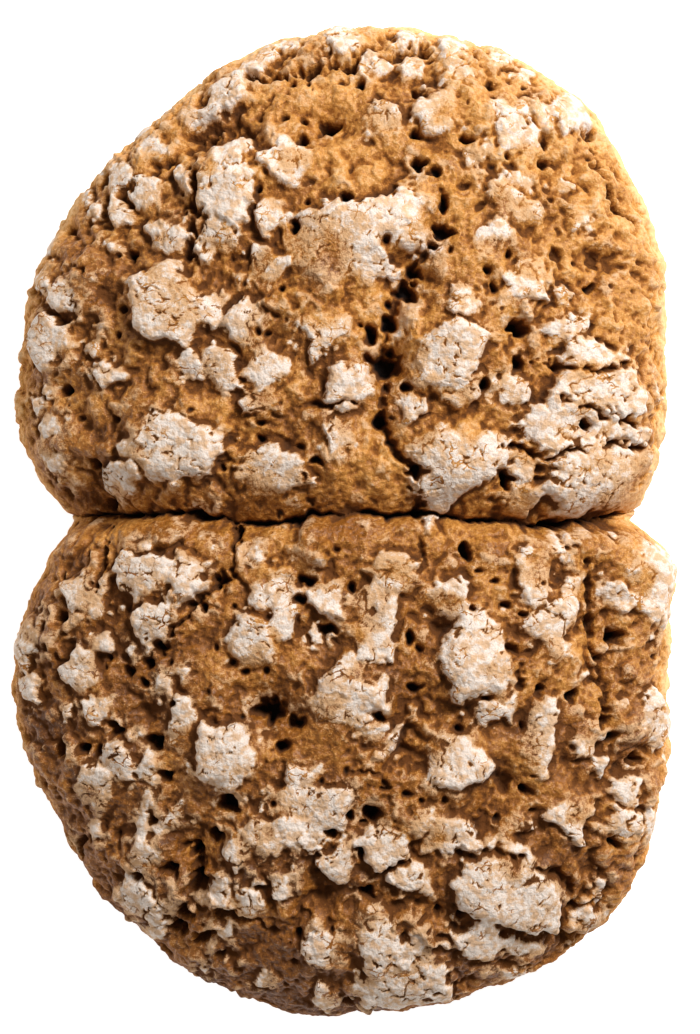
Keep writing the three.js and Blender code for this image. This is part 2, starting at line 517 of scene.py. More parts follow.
UPPER_FRONT_PLATES = (
    (-47.6, 30, 8, 4.6, 1), (-32, 31.5, 4, 7, 1), (-25.4, 30.3, 8, 9, .75), (-16.2, 30.8, 9.5, 8, .7),
    (-17.9, 24, 10, 6, .3), (-60, 26, 2.8, 2.8, .9), (-61.7, 23.6, 4.6, 2.2, .9),
    (-58.9, 18.3, 8.5, 2.8, .9), (-59, 12.7, 5, 5.5, .9), (-35.3, 15.2, 20, 13, 1),
    (-45.7, 8, 11, 7, .8, 40), (-15, 10.6, 14.5, 9.3, .5), (0, 27, 11, 7.7, .9, 20),
    (-2, 17.5, 6.3, 6.9, .5), (12.5, 23, 7, 5, .7), (50, 25.3, 19, 11.7, .75), (49, 32.3, 15, 5, .75),
    (32.8, 26.4, 8.7, 5, .6), (49.5, 19, 23, 34, .5), (40.2, 19, 11.7, 8, 1), (21.8, 13.2, 20, 12.5, .75),
    (35.4, 11, 5.9, 7.3, .6), (48.3, 8, 21, 13, .75), (49, 17, 5, 3.2, .8), (56, 16.3, 10, 6.3, .8),
    (34.3, 3.5, 7.3, 7.7, .15), (-31.8, 1.9, 3.4, 2.8, .8), (22, 27, 10, 7, .3),
)
LOWER_BACK_PLATES = (
    (-41.2, -11.3, 11.7, 9.5, 1), (-31.8, -11.8, 8.3, 10.5, .95), (-38.5, -20.8, 8, 9.5, .8),
    (-52, -14.7, 9, 9, .5), (-17.9, -15.3, 3.8, 5.9, .9), (-13.3, -15.6, 5.2, 11.7, .85),
    (-19.6, -24, 8, 9.5, .95), (-13.7, -21.9, 6, 7.7, .9), (-4, -16, 6.9, 8, 1), (-18.3, -7, 2.6, 2.6, .8),
    (-53.4, -29.7, 6.3, 9, .95), (-50, -24.8, 4.8, 5, .7), (-43.9, -26.6, 2, 2, .9),
    (-37.2, -32.7, 2.6, 3, .95), (-33.2, -30.7, 2.4, 2.4, .8), (-64.2, -24.7, 3.6, 13.9, .85),
    (-64, -33.2, 4, 7.5, .95), (-6.4, -22.9, 3, 3.6, .8), (-.2, -36.6, 14, 8.5, .8), (0, -31, 9, 9, .6),
    (5.5, -19.5, 9, 19, .7), (9.3, -10.7, 11, 10, .2), (19.9, -16, 10, 9, .55), (25.7, -28.3, 12.7, 18, 1),
    (37.9, -11.3, 6.5, 14, .3), (36.5, -6.2, 3, 3, .8), (36.5, -16.6, 3.5, 3, .8),
    (44.7, -14, 4.6, 5.9, .9), (41.6, -21.4, 8.9, 13.5, .9), (53.3, -15.4, 4.4, 7.7, .7),
    (61.9, -13, 9.9, 17.6, .85), (5.4, -34.8, 3.6, 10, .85), (43.3, -5.9, 2, 2.6, .8),
    (48, -31.5, 1.6, 1.6, 1), (-56.4, -38.2, 2.2, 4, 1), (-49.7, -38.2, 8.5, 3, .85, 50),
    (-33.2, -40.7, 12.5, 5, .75, 75),
)
LOWER_MIDDLE_PLATES = (
    (-24.8, -48, 15, 10.5, 1, -60), (-8.8, -52.3, 9, 5.9, .9), (-7.5, -58.7, 17, 10.7, .75),
    (-46.7, -48.3, 6.3, 8.9, .85), (-50.8, -53.8, 9, 8, .5), (-40, -50, 4, 6.5, .95),
    (-41.3, -60, 2.6, 11.7, .85), (-35.8, -60.2, 9.5, 1.8, .85, 50), (-41.5, -67.5, 6.6, 6.9, .75),
    (-51, -60.9, 3, 6.3, .6), (28.9, -38.9, 7.3, 5.4, 1), (33.4, -38.8, 1.2, 8, .7),
    (38.8, -44.5, 5.4, 19, .45), (5, -43, 8, 2.5, .8, 15), (9, -44.5, 8, 2, .9, 65),
    (22, -49, 14, 12, .95, -45), (50.9, -49.7, 4, 4.4, .8), (56.4, -55, 5.4, 7, .9),
    (54.9, -60.9, 7.7, 6.3, .95), (46, -60, 6.3, 9.9, .6), (47.8, -45, 7, 6, .4),
    (61.8, -40.5, 7.3, 10.5, .9), (34.6, -61.4, 5.8, 3.6, .5), (7.4, -65.7, 9.9, 10.5, .9),
    (19.3, -63.3, 13.9, 7.3, .85), (13.6, -72, 7, 6.7, .9), (61.6, -64.4, 3, 13, .7),
)
LOWER_FRONT_PLATES = (
    (-40.8, -78.5, 13.5, 7.3, .9, -60), (-15, -63.3, 13.5, 7.3, .75), (-24.8, -75, 3.2, 7.7, .8),
    (-19.7, -76.7, 6.3, 5.4, .75), (-13, -72.8, 4.8, 5.9, .85), (-21.5, -66.8, 6.3, 5.4, .6),
    (-4, -85.5, 10.3, 7.7, .75), (-16.4, -92.5, 4.6, 3.6, .6), (-23.6, -83.7, 1.6, 6, .9),
    (-1.6, -70, 5.2, 8.7, .7), (-3.8, -96.4, 6.5, 4.8, .6), (-28.7, -89.3, 4.8, 1.6, .8, -60),
    (33, -74.8, 24.4, 15.7, 1, -25), (27.3, -84.9, 10.3, 8, .9, -35), (35.9, -86, 12, 3, .6, -15),
    (6.4, -83.7, 9.9, 10.3, .65), (15, -86.9, 11.3, 5, .75, -60), (11.3, -92, 19.8, 10.7, .95),
    (48.3, -80.7, 5.4, 5.4, .8), (50.6, -74.9, 1.4, 6.3, .9), (31.5, -91.3, 11.3, 3.2, .7),
)
PLATES = tuple(Plate(*row) for rows in (
    UPPER_LEFT_PLATES, UPPER_RIGHT_PLATES, UPPER_FRONT_PLATES,
    LOWER_BACK_PLATES, LOWER_MIDDLE_PLATES, LOWER_FRONT_PLATES) for row in rows)

# Rows of Pore: place, width and length.
UPPER_HOLES = (
    (-3.6, 80.4, 4.4, 4), (-9.3, 76.8, 2.8, 2.8), (-45.3, 42.7, 1.6, 1.6), (-46.4, 37.6, 1.6, 1.6),
    (-17.4, 66.5, 1.4, 1.4), (-8.3, 64, 1.2, 1.2), (-.4, 65, 2.2, 2.2), (-10.7, 59, 2, 3),
    (-36.5, 72.3, 1.8, 1.8), (-56.5, 58.6, 2.2, 2.2), (-12.7, 81, 1.4, 1.4), (-9, 80.8, 1.2, 1.2),
    (-44, 53.6, 2.2, 2.2), (-12.9, 46.5, 1.4, 1.4), (-18, 38, 1.2, 1.2), (-16, 37.8, 1.4, 1.4),
    (24, 76.8, 3.4, 2), (13.6, 78, 2.8, 1.8), (14.5, 72, 3.6, 2.6), (17.7, 70.3, 2, 2),
    (14.5, 86.3, 2.8, 2), (28.5, 87.3, 2.2, 2.2), (39.8, 75.6, 1.4, 2), (39.7, 72, 2.3, 2.3),
    (32.3, 73.2, 1.2, 1.2), (49.4, 77.8, 1.8, 2.2), (19.5, 58.8, 4, 2.4), (19, 64, 1.6, 3.6),
    (21, 54.4, 1.1, 1.1), (17.2, 55.4, 1.6, 1.6), (13.5, 50.6, 3.6, 4), (12, 46.5, 4.8, 4.4),
    (8.5, 43.5, 2.2, 2.2), (8.5, 39.7, 3.6, 3.2), (4.6, 37.4, 2.8, 4.4), (8, 56.6, 1.3, 1.3),
    (32.5, 53.6, 1.5, 1.5), (28, 50.6, 1.8, 1.8), (29.5, 47, 1.6, 1.6), (46.4, 51.8, 1.2, 1.2),
    (49.4, 46.9, 2.4, 2), (34.5, 38.8, 3.6, 3.6), (40.6, 64.7, 1.4, 1.4), (2.6, 88, 2.4, 2),
    (-51.9, 11.2, 2.2, 2.8), (-57.3, 26.3, 2.2, 2.2), (-54.3, 20.5, .9, .9), (-46.6, 20.3, 1.5, 1.5),
    (-50.9, 3.3, 2.6, 1.8), (-17.2, 19.7, 1.6, 1.6), (-9.5, 15, 1.3, 1.3), (-25.6, 10.5, 1.3, 1.3),
    (-5.9, 11.8, 3, 1.8), (-17.8, 16.6, 1.7, 1.7), (7.5, 31.4, 6, 6.4), (27.6, 27.5, 2.4, 2.4),
    (11.8, 26.7, 2.2, 1.8), (6.9, 19.9, 2.6, 4), (14, 9.8, 3.8, 4), (32.5, 8.2, 2.6, 4),
    (47.4, 19.5, 2.6, 2.2), (8.7, 15.4, 1.8, 1.8), (34.7, 31.6, 2, 3),
)
UPPER_DIMPLES = (
    (-28.5, 76.6, 10, 4), (51, 52.8, 4, 4), (63.4, 22.3, 2, 4), (63, 16.9, 1.4, 5),
)
LOWER_HOLES = (
    (-45, .8, 4.4, 1.8), (-35.9, 1.3, 4, 1.1), (-11, 0, 4, 2.6), (15.3, 1.3, 3, 1.2), (42.4, -1.1, 5.4, 2),
    (-29, -17.7, 2.2, 2.2), (-8.3, -12.4, 4, 2.2), (-9.5, -16, 2.6, 1.8), (-3.6, -22, 4, 2.6),
    (-20.8, -30.6, 1.8, 1.8), (-16.5, -30.6, 1.6, 1.6), (-23.2, -28.8, 1.1, 1.1), (-40.4, -28.6, 2.2, 2.2),
    (-38, -25.5, 2.6, 2.6), (-23, -17.5, 1.3, 1.3), (-60.5, -21.3, 1.1, 1.1), (-60, -26, 1.6, 1.6),
    (-57, -19.7, 2.6, 2.6), (-44.2, -30.4, 2, 2), (-41.2, -32.8, 2.2, 2.2), (-48.4, -27.9, 1.3, 1.3),
    (1, -13.8, 2, 2), (-2.4, -6, .9, .9), (-26.6, -25.9, .9, .9), (23.8, -6.8, 2.2, 3.8),
    (26.8, -10.2, 1.4, .9), (29.9, -12.4, 1.8, 1.1), (31.9, -17.3, 2, 1.3), (25.3, -17.9, 1.6, 1.1),
    (35.2, -19, 2, 1.1), (12.7, -23.7, 2.2, 3.2), (14.5, -25.9, 1.3, 1.3), (13.8, -33.6, 2.9, 1.8),
    (54.6, -23.7, 5, 2.7), (51.3, -27.7, 2, 1.6), (39, -34, 1.6, 1.6), (45.4, -35.8, 2.7, 2.7),
    (-15.5, -38.8, 6.5, 5.6), (-47, -42.5, 3.1, 2.7), (-57.5, -46, 2.2, 2.2), (-53.5, -46.5, 2.2, 2.7),
    (-50.2, -46.7, 2, 2), (-38.9, -45, 4, 2.7), (-36.7, -51.6, 2.7, 2.2), (-39, -61, 1.6, 1.6),
    (-13.3, -45.7, 3.1, 2.2), (-24.2, -57.4, 4.5, 3.1), (-15, -57.4, 1.3, 1.3), (-3.4, -63, 2.2, 2),
    (-31.3, -67.7, 4, 3.1), (-30.5, -73.2, 4, 3.6), (-35.9, -70.7, 4, 2.7), (-41.8, -71.7, 2.7, 1.8),
    (-46.4, -63.7, 1.1, 1.1), (-26.8, -64, 3.6, 2.2), (-33, -79.6, 4, 3.1), (-34.5, -82.4, 4.5, 2.2),
    (-29.5, -84.2, 4, 2.7), (-25.6, -87.7, 1.6, 1.6), (-9.9, -83.8, 2, 2.2), (-11, -89.3, 1.3, 1.3),
    (-35, -37, 1.3, 1.3), (-10, -40.9, 4, 2), (.2, -59.6, 2, 2), (-.2, -97.2, 1.8, 1.8),
    (-53.9, -66.3, 2.7, 4), (28, -35.8, 2.2, 1.3), (6, -39.3, 2.7, 2.2), (51.9, -40.7, 2.4, 3.1),
    (53.5, -44, 2.7, 3.1), (58.4, -48.3, 3.6, 3.1), (22.8, -42.6, 1.6, 1.6), (36.7, -54.6, 2.7, 2.2),
    (12, -55, 1.6, 1.6), (14.9, -56.8, 1.2, 1.2), (19.5, -56.4, 1.3, 1.3), (7.7, -54, 2.7, .9),
    (5, -59.4, 3.6, 3.1), (3, -61.4, 1.6, 1.6), (30.3, -60.7, 1.6, 1.6), (37.9, -58.9, 1.6, .9),
    (35, -67.3, 1.8, 1.3), (53.5, -65, 2.2, 2.7), (4.4, -75.6, 2.9, 2.2), (18.2, -79, 1.8, 1.8),
    (23, -79.6, 1.8, 1.8), (46, -78, 2.7, 3.1), (2.8, -66.9, 1.8, 2.7), (57.7, -67.7, 1.3, 1.8),
    (35.3, -41.9, 1, 2.4),
)
LOWER_DIMPLES = (
    (18.4, -21, 5, 5), (-40.8, -38.4, 5.4, 5), (-5, -78, 6.7, 6.3), (31.7, -53.4, 4, 5.4),
    (27.6, -61.4, 5, 5), (10.3, -77.6, 5, 4), (44.2, -84.9, 4, 3.1), (12.7, -47.9, 6, 6),
)
PORES = (tuple(Pore(*row) for row in UPPER_HOLES + LOWER_HOLES)
         + tuple(Pore(*row, Opening.DIMPLE) for row in UPPER_DIMPLES + LOWER_DIMPLES))

# The split along the floor of the seam, from left to right.
SEAM_LINE = (
    (-54.5, .7), (-47.4, 1.1), (-35.3, 1.3), (-29.3, .7), (-23.6, -.9), (-16.7, -.9), (-10.7, .5),
    (-7, 1.9), (1, 1.1), (15, 1.1), (21, .3), (36.9, -.9), (42.4, -1.1), (51.5, -.3), (57.9, 2.1),
)
# Rows of Crack: its points, width and depth.
CRACKS = tuple(Crack(*row) for row in (
    (((-19.5, 89), (-6.7, 90.5), (1, 91.9), (5.4, 92.9), (15.3, 94.5)), 3.0, 3.6),
    (((-30.9, 69.3), (-31.3, 51.4)), 2.4, 2.6),
    (((-53.9, 51.8), (-52.9, 49)), 1.6, 2.0),
    (((49.6, 74.8), (50.5, 69.5), (54.1, 63.1), (56.9, 61.2), (59.1, 58.2)), 1.4, 2.4),
    (((42, 59.4), (42.4, 52.4)), 2.0, 1.6),
    (((40.2, 25.3), (46, 23.1), (52.9, 21.3), (56.9, 19.5)), 1.2, 1.8),
    (((38.6, 31.6), (43, 31), (49.6, 29.8), (55.9, 31.6)), 1.2, 1.8),
    (((31, 15.4), (40.6, 12.8), (46, 14.6), (52.9, 15.4), (59.5, 15)), 1.3, 2.0),
    (((17.2, 70), (19.2, 64), (18.2, 58), (13.5, 50.6), (11, 44.9), (8, 38.8), (6.7, 30.8)), 1.8, 1.6),
    (((6.7, 30.8), (7.7, 24.7), (7, 19.7), (9, 14.6), (13, 9.6), (14, 4.5), (14.7, 1.5)), 1.4, 2.0),
    (((-10, 23), (1, 23.7)), 1.2, 1.8),
    (((-8.9, 9.6), (-7.1, 3.3)), 1.4, 2.0),
    (((-22.8, -1.1), (-22.4, -5.8), (-23.2, -10.2), (-29, -15.2)), 1.6, 3.4),
    (((-29, -15.2), (-33, -20.5), (-38, -25.9), (-40.8, -28.1)), 1.4, 2.4),
    (((-48, -2.1), (-50.2, -13.8)), 1.0, 1.6),
    (((46.4, -5.8), (48.8, -10.2), (49.2, -14.6), (49.2, -19.3), (50, -25.1), (51.5, -31.8),
      (52.5, -38.8)), 2.0, 2.2),
    (((14, -1.3), (15.3, -8), (15.3, -12.4)), 1.6, 1.4),
    (((32.5, -25), (34.3, -29.2), (35.3, -33.8)), 1.6, 1.6),
    (((-30.5, -69.9), (-24.6, -79.4), (-18.4, -80.4), (-14.7, -83)), 2.0, 2.0),
    (((1, -52), (5, -50), (8, -54)), 1.2, 1.4),
    (((22.2, -66), (35.3, -68), (44.4, -73.2), (46.4, -77.2)), 2.2, 1.8),
))


# ---- Relief of the crust -----------------------------------------------------------------------


@dataclass
class Placement:
    """Where details lie on the sheet, and their local coordinates there.

    Details are placed as an eye high above the floor lines them up with the widest level, so one
    on the crown lies a little nearer the middle than it seems.
    """

    sheet: Sheet
    eye_height: float = 590.0
    most_stretch: float = 2.4
    probe: float = 0.5

    def spot(self, x: float, y: float) -> tuple[float, float]:
        """The true place of a detail that is seen at a place.

        Args:
            x: Where it is seen along X, in millimetres.
            y: Where it is seen along Y, in millimetres.

        Returns:
            Where it is along X and Y, in millimetres.
        """
        form = self.sheet.form
        dome = float(np.sqrt(form.dome_share(np.array(x), np.array(y))))
        rise = dome * (form.crown_height - form.waist_height)
        share = 1.0 - rise / (self.eye_height - form.waist_height)
        return x * share, y * share

    def window(self, x: float, y: float, reach: float) -> tuple[slice, slice]:
        """The part of the sheet within reach of a seen place."""
        a0, b0 = self.sheet.form.unroll(*self.spot(x, y))
        return self.sheet.window(float(a0), float(b0), reach)

    def line(self, points: tuple[tuple[float, float], ...]) -> np.ndarray:
        """The true line on the sheet of a line of seen places."""
        return np.array([self.sheet.form.unroll(*self.spot(x, y)) for x, y in points])

    def local(self, window: tuple[slice, slice], x: float, y: float) -> tuple[np.ndarray, np.ndarray]:
        """Offsets from a detail's middle as they are seen from above.

        Args:
            window: The part of the sheet that is worked on.
            x: Where the detail's middle is seen along X, in millimetres.
            y: Where the detail's middle is seen along Y, in millimetres.

        Returns:
            The offsets along X and Y, in millimetres.
        """
        form = self.sheet.form
        x, y = self.spot(x, y)
        a0, b0 = form.unroll(x, y)
        angle = math.atan2(y, x)
        a1, b1 = form.unroll(x + self.probe * math.cos(angle), y + self.probe * math.sin(angle))
        stretch = min(self.most_stretch, max(1.0, math.hypot(a1 - a0, b1 - b0) / self.probe))
        da, db = self.sheet.a[window] - a0, self.sheet.b[window] - b0
        out = (da * math.cos(angle) + db * math.sin(angle)) / stretch
        side = db * math.cos(angle) - da * math.sin(angle)
        return (out * math.cos(angle) - side * math.sin(angle),
                out * math.sin(angle) + side * math.cos(angle))


@dataclass
class FlouredPlates:
    """The raised, floured islands of the old dough skin, each tilted so that one side lifts."""

    plates: tuple[Plate, ...] = PLATES
    seed: int = 15
    sides: int = 5
    side_sway: float = 0.3
    side_reach: tuple[float, float] = (0.78, 1.02)
    loose_crumbs: int = 420
    loose_sizes: tuple[float, float] = (0.4, 1.4)
    margin: float = 4.5
    bend_size: float = 5.5
    coarse_bend: float = 1.0
    fully_bent_size: float = 9.0
    flake_size: float = 2.6
    most_flaked: float = 0.3
    flaking_size: float = 15.0
    crumb_size: float = 1.0
    crumbling: float = 0.34
    edge_width: float = 0.25
    edge_softness: float = 0.13
    skin: float = 0.85
    thinnest_skin: float = 0.35
    skin_growth: float = 10.0
    tilt: float = 0.7
    hill_height: float = 1.5
    full_hill_size: float = 11.0
    undercut_width: float = 0.5
    lifted_flour: float = 0.55
    most_flour: float = 1.15
    dust: float = 0.4
    dust_reach: float = 2.8

    def draw(self, place: Placement) -> tuple[np.ndarray, np.ndarray, np.ndarray, np.ndarray]:
        """Draws every plate.

        Args:
            place: Where details lie on the sheet.

        Returns:
            How high the plates stand and the hills under them, in millimetres, how floured they
            are and how undercut the crust beside them is, both 0 to 1.
        """
        sheet = place.sheet
        rng = np.random.default_rng(self.seed)
        bend = tuple(Noise(seed).rough(sheet, self.bend_size, 3.0) for seed in (11, 12))
        flakes = Noise(13).cells(sheet.a + bend[1], sheet.b + bend[0], self.flake_size)
        crumbs = Noise(14).cells(sheet.a, sheet.b, self.crumb_size)
        rise, hill, flour, undercut = (sheet.blank() for _ in range(4))
        for plate in self.plates + self._loose(rng):
            lift = rng.uniform(0.0, 2.0 * math.pi)
            size = min(plate.along, plate.across)
            window = place.window(plate.x, plate.y, 1.2 * max(plate.along, plate.across) + self.margin)
            dx, dy = place.local(window, plate.x, plate.y)
            swing = self.coarse_bend * min(1.0, size / self.fully_bent_size)
            flaked = min(self.most_flaked, size / self.flaking_size)
            dx = dx + swing * bend[0][window] + flaked * flakes.off_a[window]
            dx = dx + self.crumbling * crumbs.off_a[window]
            dy = dy + swing * bend[1][window] + flaked * flakes.off_b[window]
            dy = dy + self.crumbling * crumbs.off_b[window]
            inside = self._inside(*turned(dx, dy, plate.turn), plate, rng)
            slope = np.clip((dx * math.cos(lift) + dy * math.sin(lift)) * 2.0 / size, -1.0, 1.0)
            for layer, drawn in ((rise, self._height(size, slope, inside)),
                                 (hill, self._hill(size, inside)),
                                 (undercut, self._undercut(slope, inside)),
                                 (flour, self._flour(plate.flour, slope, inside))):
                layer[window] = np.maximum(layer[window], drawn)
        undercut *= smoothstep(0.5, 0.1, rise)
        return sheet.blur(rise, self.edge_softness), hill, flour, undercut

    def _height(self, size: float, slope: np.ndarray, inside: np.ndarray) -> np.ndarray:
        """How high a plate stands, in millimetres: a large one is thicker, and one side lifts."""
        thickness = self.skin * min(1.0, self.thinnest_skin + size / self.skin_growth)
        return thickness * (1.0 + self.tilt * slope) * smoothstep(-0.1, self.edge_width, inside)

    def _hill(self, size: float, inside: np.ndarray) -> np.ndarray:
        """Height of the soft hill under a plate, in millimetres."""
        return self.hill_height * min(1.0, size / self.full_hill_size) * smoothstep(-1.6, 1.8, inside)

    def _undercut(self, slope: np.ndarray, inside: np.ndarray) -> np.ndarray:
        """How undercut the crust is just outside a plate: most where the plate lifts."""
        beside = np.exp(-((inside + 0.6) / self.undercut_width) ** 2)
        return beside * np.clip(0.35 + 0.65 * slope, 0.0, 1.0)

    def _flour(self, floured: float, slope: np.ndarray, inside: np.ndarray) -> np.ndarray:
        """How floured a plate is, with thinner dust around it.

        Args:
            floured: The plate's own share of flour.
            slope: From -1 on the plate's low side to 1 on its lifted side.
            inside: How far inside the plate each spot is, in millimetres.

        Returns:
            The flour, up to a little over 1.
        """
        amount = np.clip(floured * (1.0 + self.lifted_flour * slope), 0.0, self.most_flour)
        around = self.dust * smoothstep(-self.dust_reach, 0.4, inside)
        return amount * np.maximum(smoothstep(-0.1, 0.3, inside), around)

    def _inside(self, along: np.ndarray, across: np.ndarray, plate: Plate,
                rng: np.random.Generator) -> np.ndarray:
        """How far inside a plate's broken, many-sided outline each spot is.

        Args:
            along: Offsets along the plate, in millimetres.
            across: Offsets across the plate, in millimetres.
            plate: The plate.
            rng: Chooses where the sides break.

        Returns:
            Distances in millimetres, below 0 outside the plate.
        """
        inside = np.full(along.shape, FAR)
        half_along, half_across = plate.along / 2.0, plate.across / 2.0
        for side in range(self.sides):
            sway = rng.uniform(-self.side_sway, self.side_sway)
            heading = (side + sway) * 2.0 * math.pi / self.sides
            reach = math.hypot(half_along * math.cos(heading), half_across * math.sin(heading))
            reach *= rng.uniform(*self.side_reach)
            inside = np.minimum(inside, reach - along * math.cos(heading) - across * math.sin(heading))
        return inside

    def _loose(self, rng: np.random.Generator) -> tuple[Plate, ...]:
        """Strews small loose crumbs of flour around the plates.

        Args:
            rng: Chooses their places and sizes.

        Returns:
            The crumbs, as small plates.
        """
        crumbs = []
        for _ in range(self.loose_crumbs):
            near = self.plates[rng.integers(len(self.plates))]
            heading, far = rng.uniform(0.0, 2.0 * math.pi), rng.uniform(0.5, 0.85)
            x = near.x + far * near.along * math.cos(heading)
            y = near.y + far * near.across * math.sin(heading)
            size = rng.uniform(*self.loose_sizes)
            crumbs.append(Plate(x, y, size, size * rng.uniform(0.7, 1.4), rng.uniform(0.8, 1.0)))
        return tuple(crumbs)


@dataclass
class Pores:
    """The open bubbles of the crust: those listed, and a seeded scatter of small ones.

    A pore's depth, bowl, shade and bend each start at a least value and grow with its size.
    """

    pores: tuple[Pore, ...] = PORES
    least_bend: float = 0.12
    bend_growth: float = 0.17
    least_depth: float = 0.5
    depth_growth: float = 1.15
    deepest: float = 5.0
    least_bowl: float = 0.2
    bowl_growth: float = 0.28
    least_shade: float = 0.35
    shade_growth: float = 3.5
    scatter_seed: int = 71
    scatter_count: int = 1000
    scatter_margin: float = 3.0
    scatter_least: float = 0.4
    scatter_most: float = 1.5
    scatter_bend: float = 0.25
    scatter_depth: float = 0.9
    swarm_size: float = 14.0

    def draw(self, place: Placement, closed: np.ndarray) -> tuple[np.ndarray, np.ndarray, np.ndarray]:
        """Draws every pore.

        Args:
            place: Where details lie on the sheet.
            closed: Where the floured plates are, which close small pores.

        Returns:
            How deep the pores and the soft bowls around them are, in millimetres, and the painted
            shade inside the pores, 0 to 1.
        """
        sheet = place.sheet
        bend = tuple(Noise(seed).rough(sheet, 2.4, 3.0) for seed in (21, 22))
        depth, bowl, painted_shade = sheet.blank(), sheet.blank(), sheet.blank()
        for pore in self.pores:
            size = math.sqrt(pore.wide * pore.high)
            window = place.window(pore.x, pore.y, 2.6 * max(pore.wide, pore.high) + 2.5)
            dx, dy = place.local(window, pore.x, pore.y)
            swing = self.least_bend + self.bend_growth * size
            dx, dy = dx + swing * bend[0][window], dy + swing * bend[1][window]
            out = np.hypot(2.0 * dx / pore.wide, 2.0 * dy / pore.high)
            deep = min(self.deepest, self.least_depth + self.depth_growth * size) * pore.kind.value
            cup = smoothstep(1.15, 0.6, out) if pore.kind is Opening.HOLE else smoothstep(1.3, 0.1, out)
            depth[window] = np.maximum(depth[window], deep * cup)
            soft = self.least_bowl + self.bowl_growth * size
            bowl[window] = np.maximum(bowl[window], soft * np.exp(-(out / 2.0) ** 2))
            # painted shade inside the pore, fuller for holes and for larger pores
            shade = pore.kind.value ** 1.5 * smoothstep(1.0, 0.45, out)
            shade = shade * min(1.0, self.least_shade + size / self.shade_growth)
            painted_shade[window] = np.maximum(painted_shade[window], shade)
        self._scatter(sheet, closed, bend, depth, painted_shade)
        return depth, bowl, painted_shade

    def _scatter(self, sheet: Sheet, closed: np.ndarray, bend: tuple[np.ndarray, np.ndarray],
                 depth: np.ndarray, painted_shade: np.ndarray) -> None:
        """Adds small pores to the bare crust in place, in loose swarms.

        Args:
            sheet: The flat sheet.
            closed: Where the floured plates are.
            bend: Fields that bend the pores' edges.
            depth: Depth of the pores so far, added to.
            painted_shade: Painted shade inside the pores so far, added to.
        """
        rng = np.random.default_rng(self.scatter_seed)
        swarm = Noise(23).rough(sheet, self.swarm_size, 2.0)
        half_width = sheet.half_width - self.scatter_margin
        half_length = sheet.half_length - self.scatter_margin
        for _ in range(self.scatter_count):
            a0 = rng.uniform(-half_width, half_width)
            b0 = rng.uniform(-half_length, half_length)
            size = self.scatter_least + (self.scatter_most - self.scatter_least) * rng.random() ** 3.0
            squash = rng.uniform(0.7, 1.4)
            chance = rng.random()
            spot = sheet.window(a0, b0, 0.0)
            if closed[spot].mean() > 0.1 + 0.5 * chance or swarm[spot].mean() < chance - 0.6:
                continue
            window = sheet.window(a0, b0, 1.3 * size + 0.6)
            da = sheet.a[window] - a0 + self.scatter_bend * bend[0][window]
            db = sheet.b[window] - b0 + self.scatter_bend * bend[1][window]
            out = np.hypot(da * squash, db / squash) / (size / 2.0)
            cup = self.scatter_depth * size * smoothstep(1.25, 0.5, out)
            depth[window] = np.maximum(depth[window], cup)
            # painted shade inside the small pore
            shade = min(0.85, 0.3 + 0.45 * size) * smoothstep(1.05, 0.4, out)
            painted_shade[window] = np.maximum(painted_shade[window], shade)


@dataclass
class Cracks:
    """The splits between the lobes of the crust, which open and close along their way."""

    cracks: tuple[Crack, ...] = CRACKS
    bend: float = 0.9
    deepening: float = 1.6
    full_shade_depth: float = 2.8

    def draw(self, place: Placement) -> tuple[np.ndarray, np.ndarray]:
        """Draws every crack.

        Args:
            place: Where details lie on the sheet.

        Returns:
            How deep the cracks are, in millimetres, and how dark they are inside, 0 to 1.
        """
        sheet = place.sheet
        bent_a = self.bend * Noise(31).rough(sheet, 5.0, 1.7)
        bent_b = self.bend * Noise(32).rough(sheet, 5.0, 1.7)
        opened = 0.6 + 0.7 * Noise(33).rough(sheet, 6.0, 2.2)
        depth, painted_shade = sheet.blank(), sheet.blank()
        for crack in self.cracks:
            line = place.line(crack.points)
            apart = np.full(sheet.a.shape, FAR)
            for start, end in zip(line[:-1], line[1:]):
                middle, span = (start + end) / 2.0, end - start
                window = sheet.window(*middle, 0.6 * np.hypot(*span) + 3.0 * crack.width + 3.0)
                a = sheet.a[window] + bent_a[window] - start[0]
                b = sheet.b[window] + bent_b[window] - start[1]
                along = np.clip((a * span[0] + b * span[1]) / (span @ span), 0.0, 1.0)
                gap = np.hypot(a - along * span[0], b - along * span[1])
                apart[window] = np.minimum(apart[window], gap)
            half = crack.width / 2.0 * np.clip(opened, 0.25, 1.5)
            strength = np.clip(opened, 0.15, 1.0)
            cut = self.deepening * crack.depth * strength * smoothstep(1.9, 0.0, apart / half)
            depth = np.maximum(depth, cut)
            # painted shade inside the crack, fuller where it is deep and open
            shade = min(1.0, crack.depth / self.full_shade_depth) * strength
            painted_shade = np.maximum(painted_shade, shade * smoothstep(0.8, 0.1, apart / half))
        return depth, painted_shade


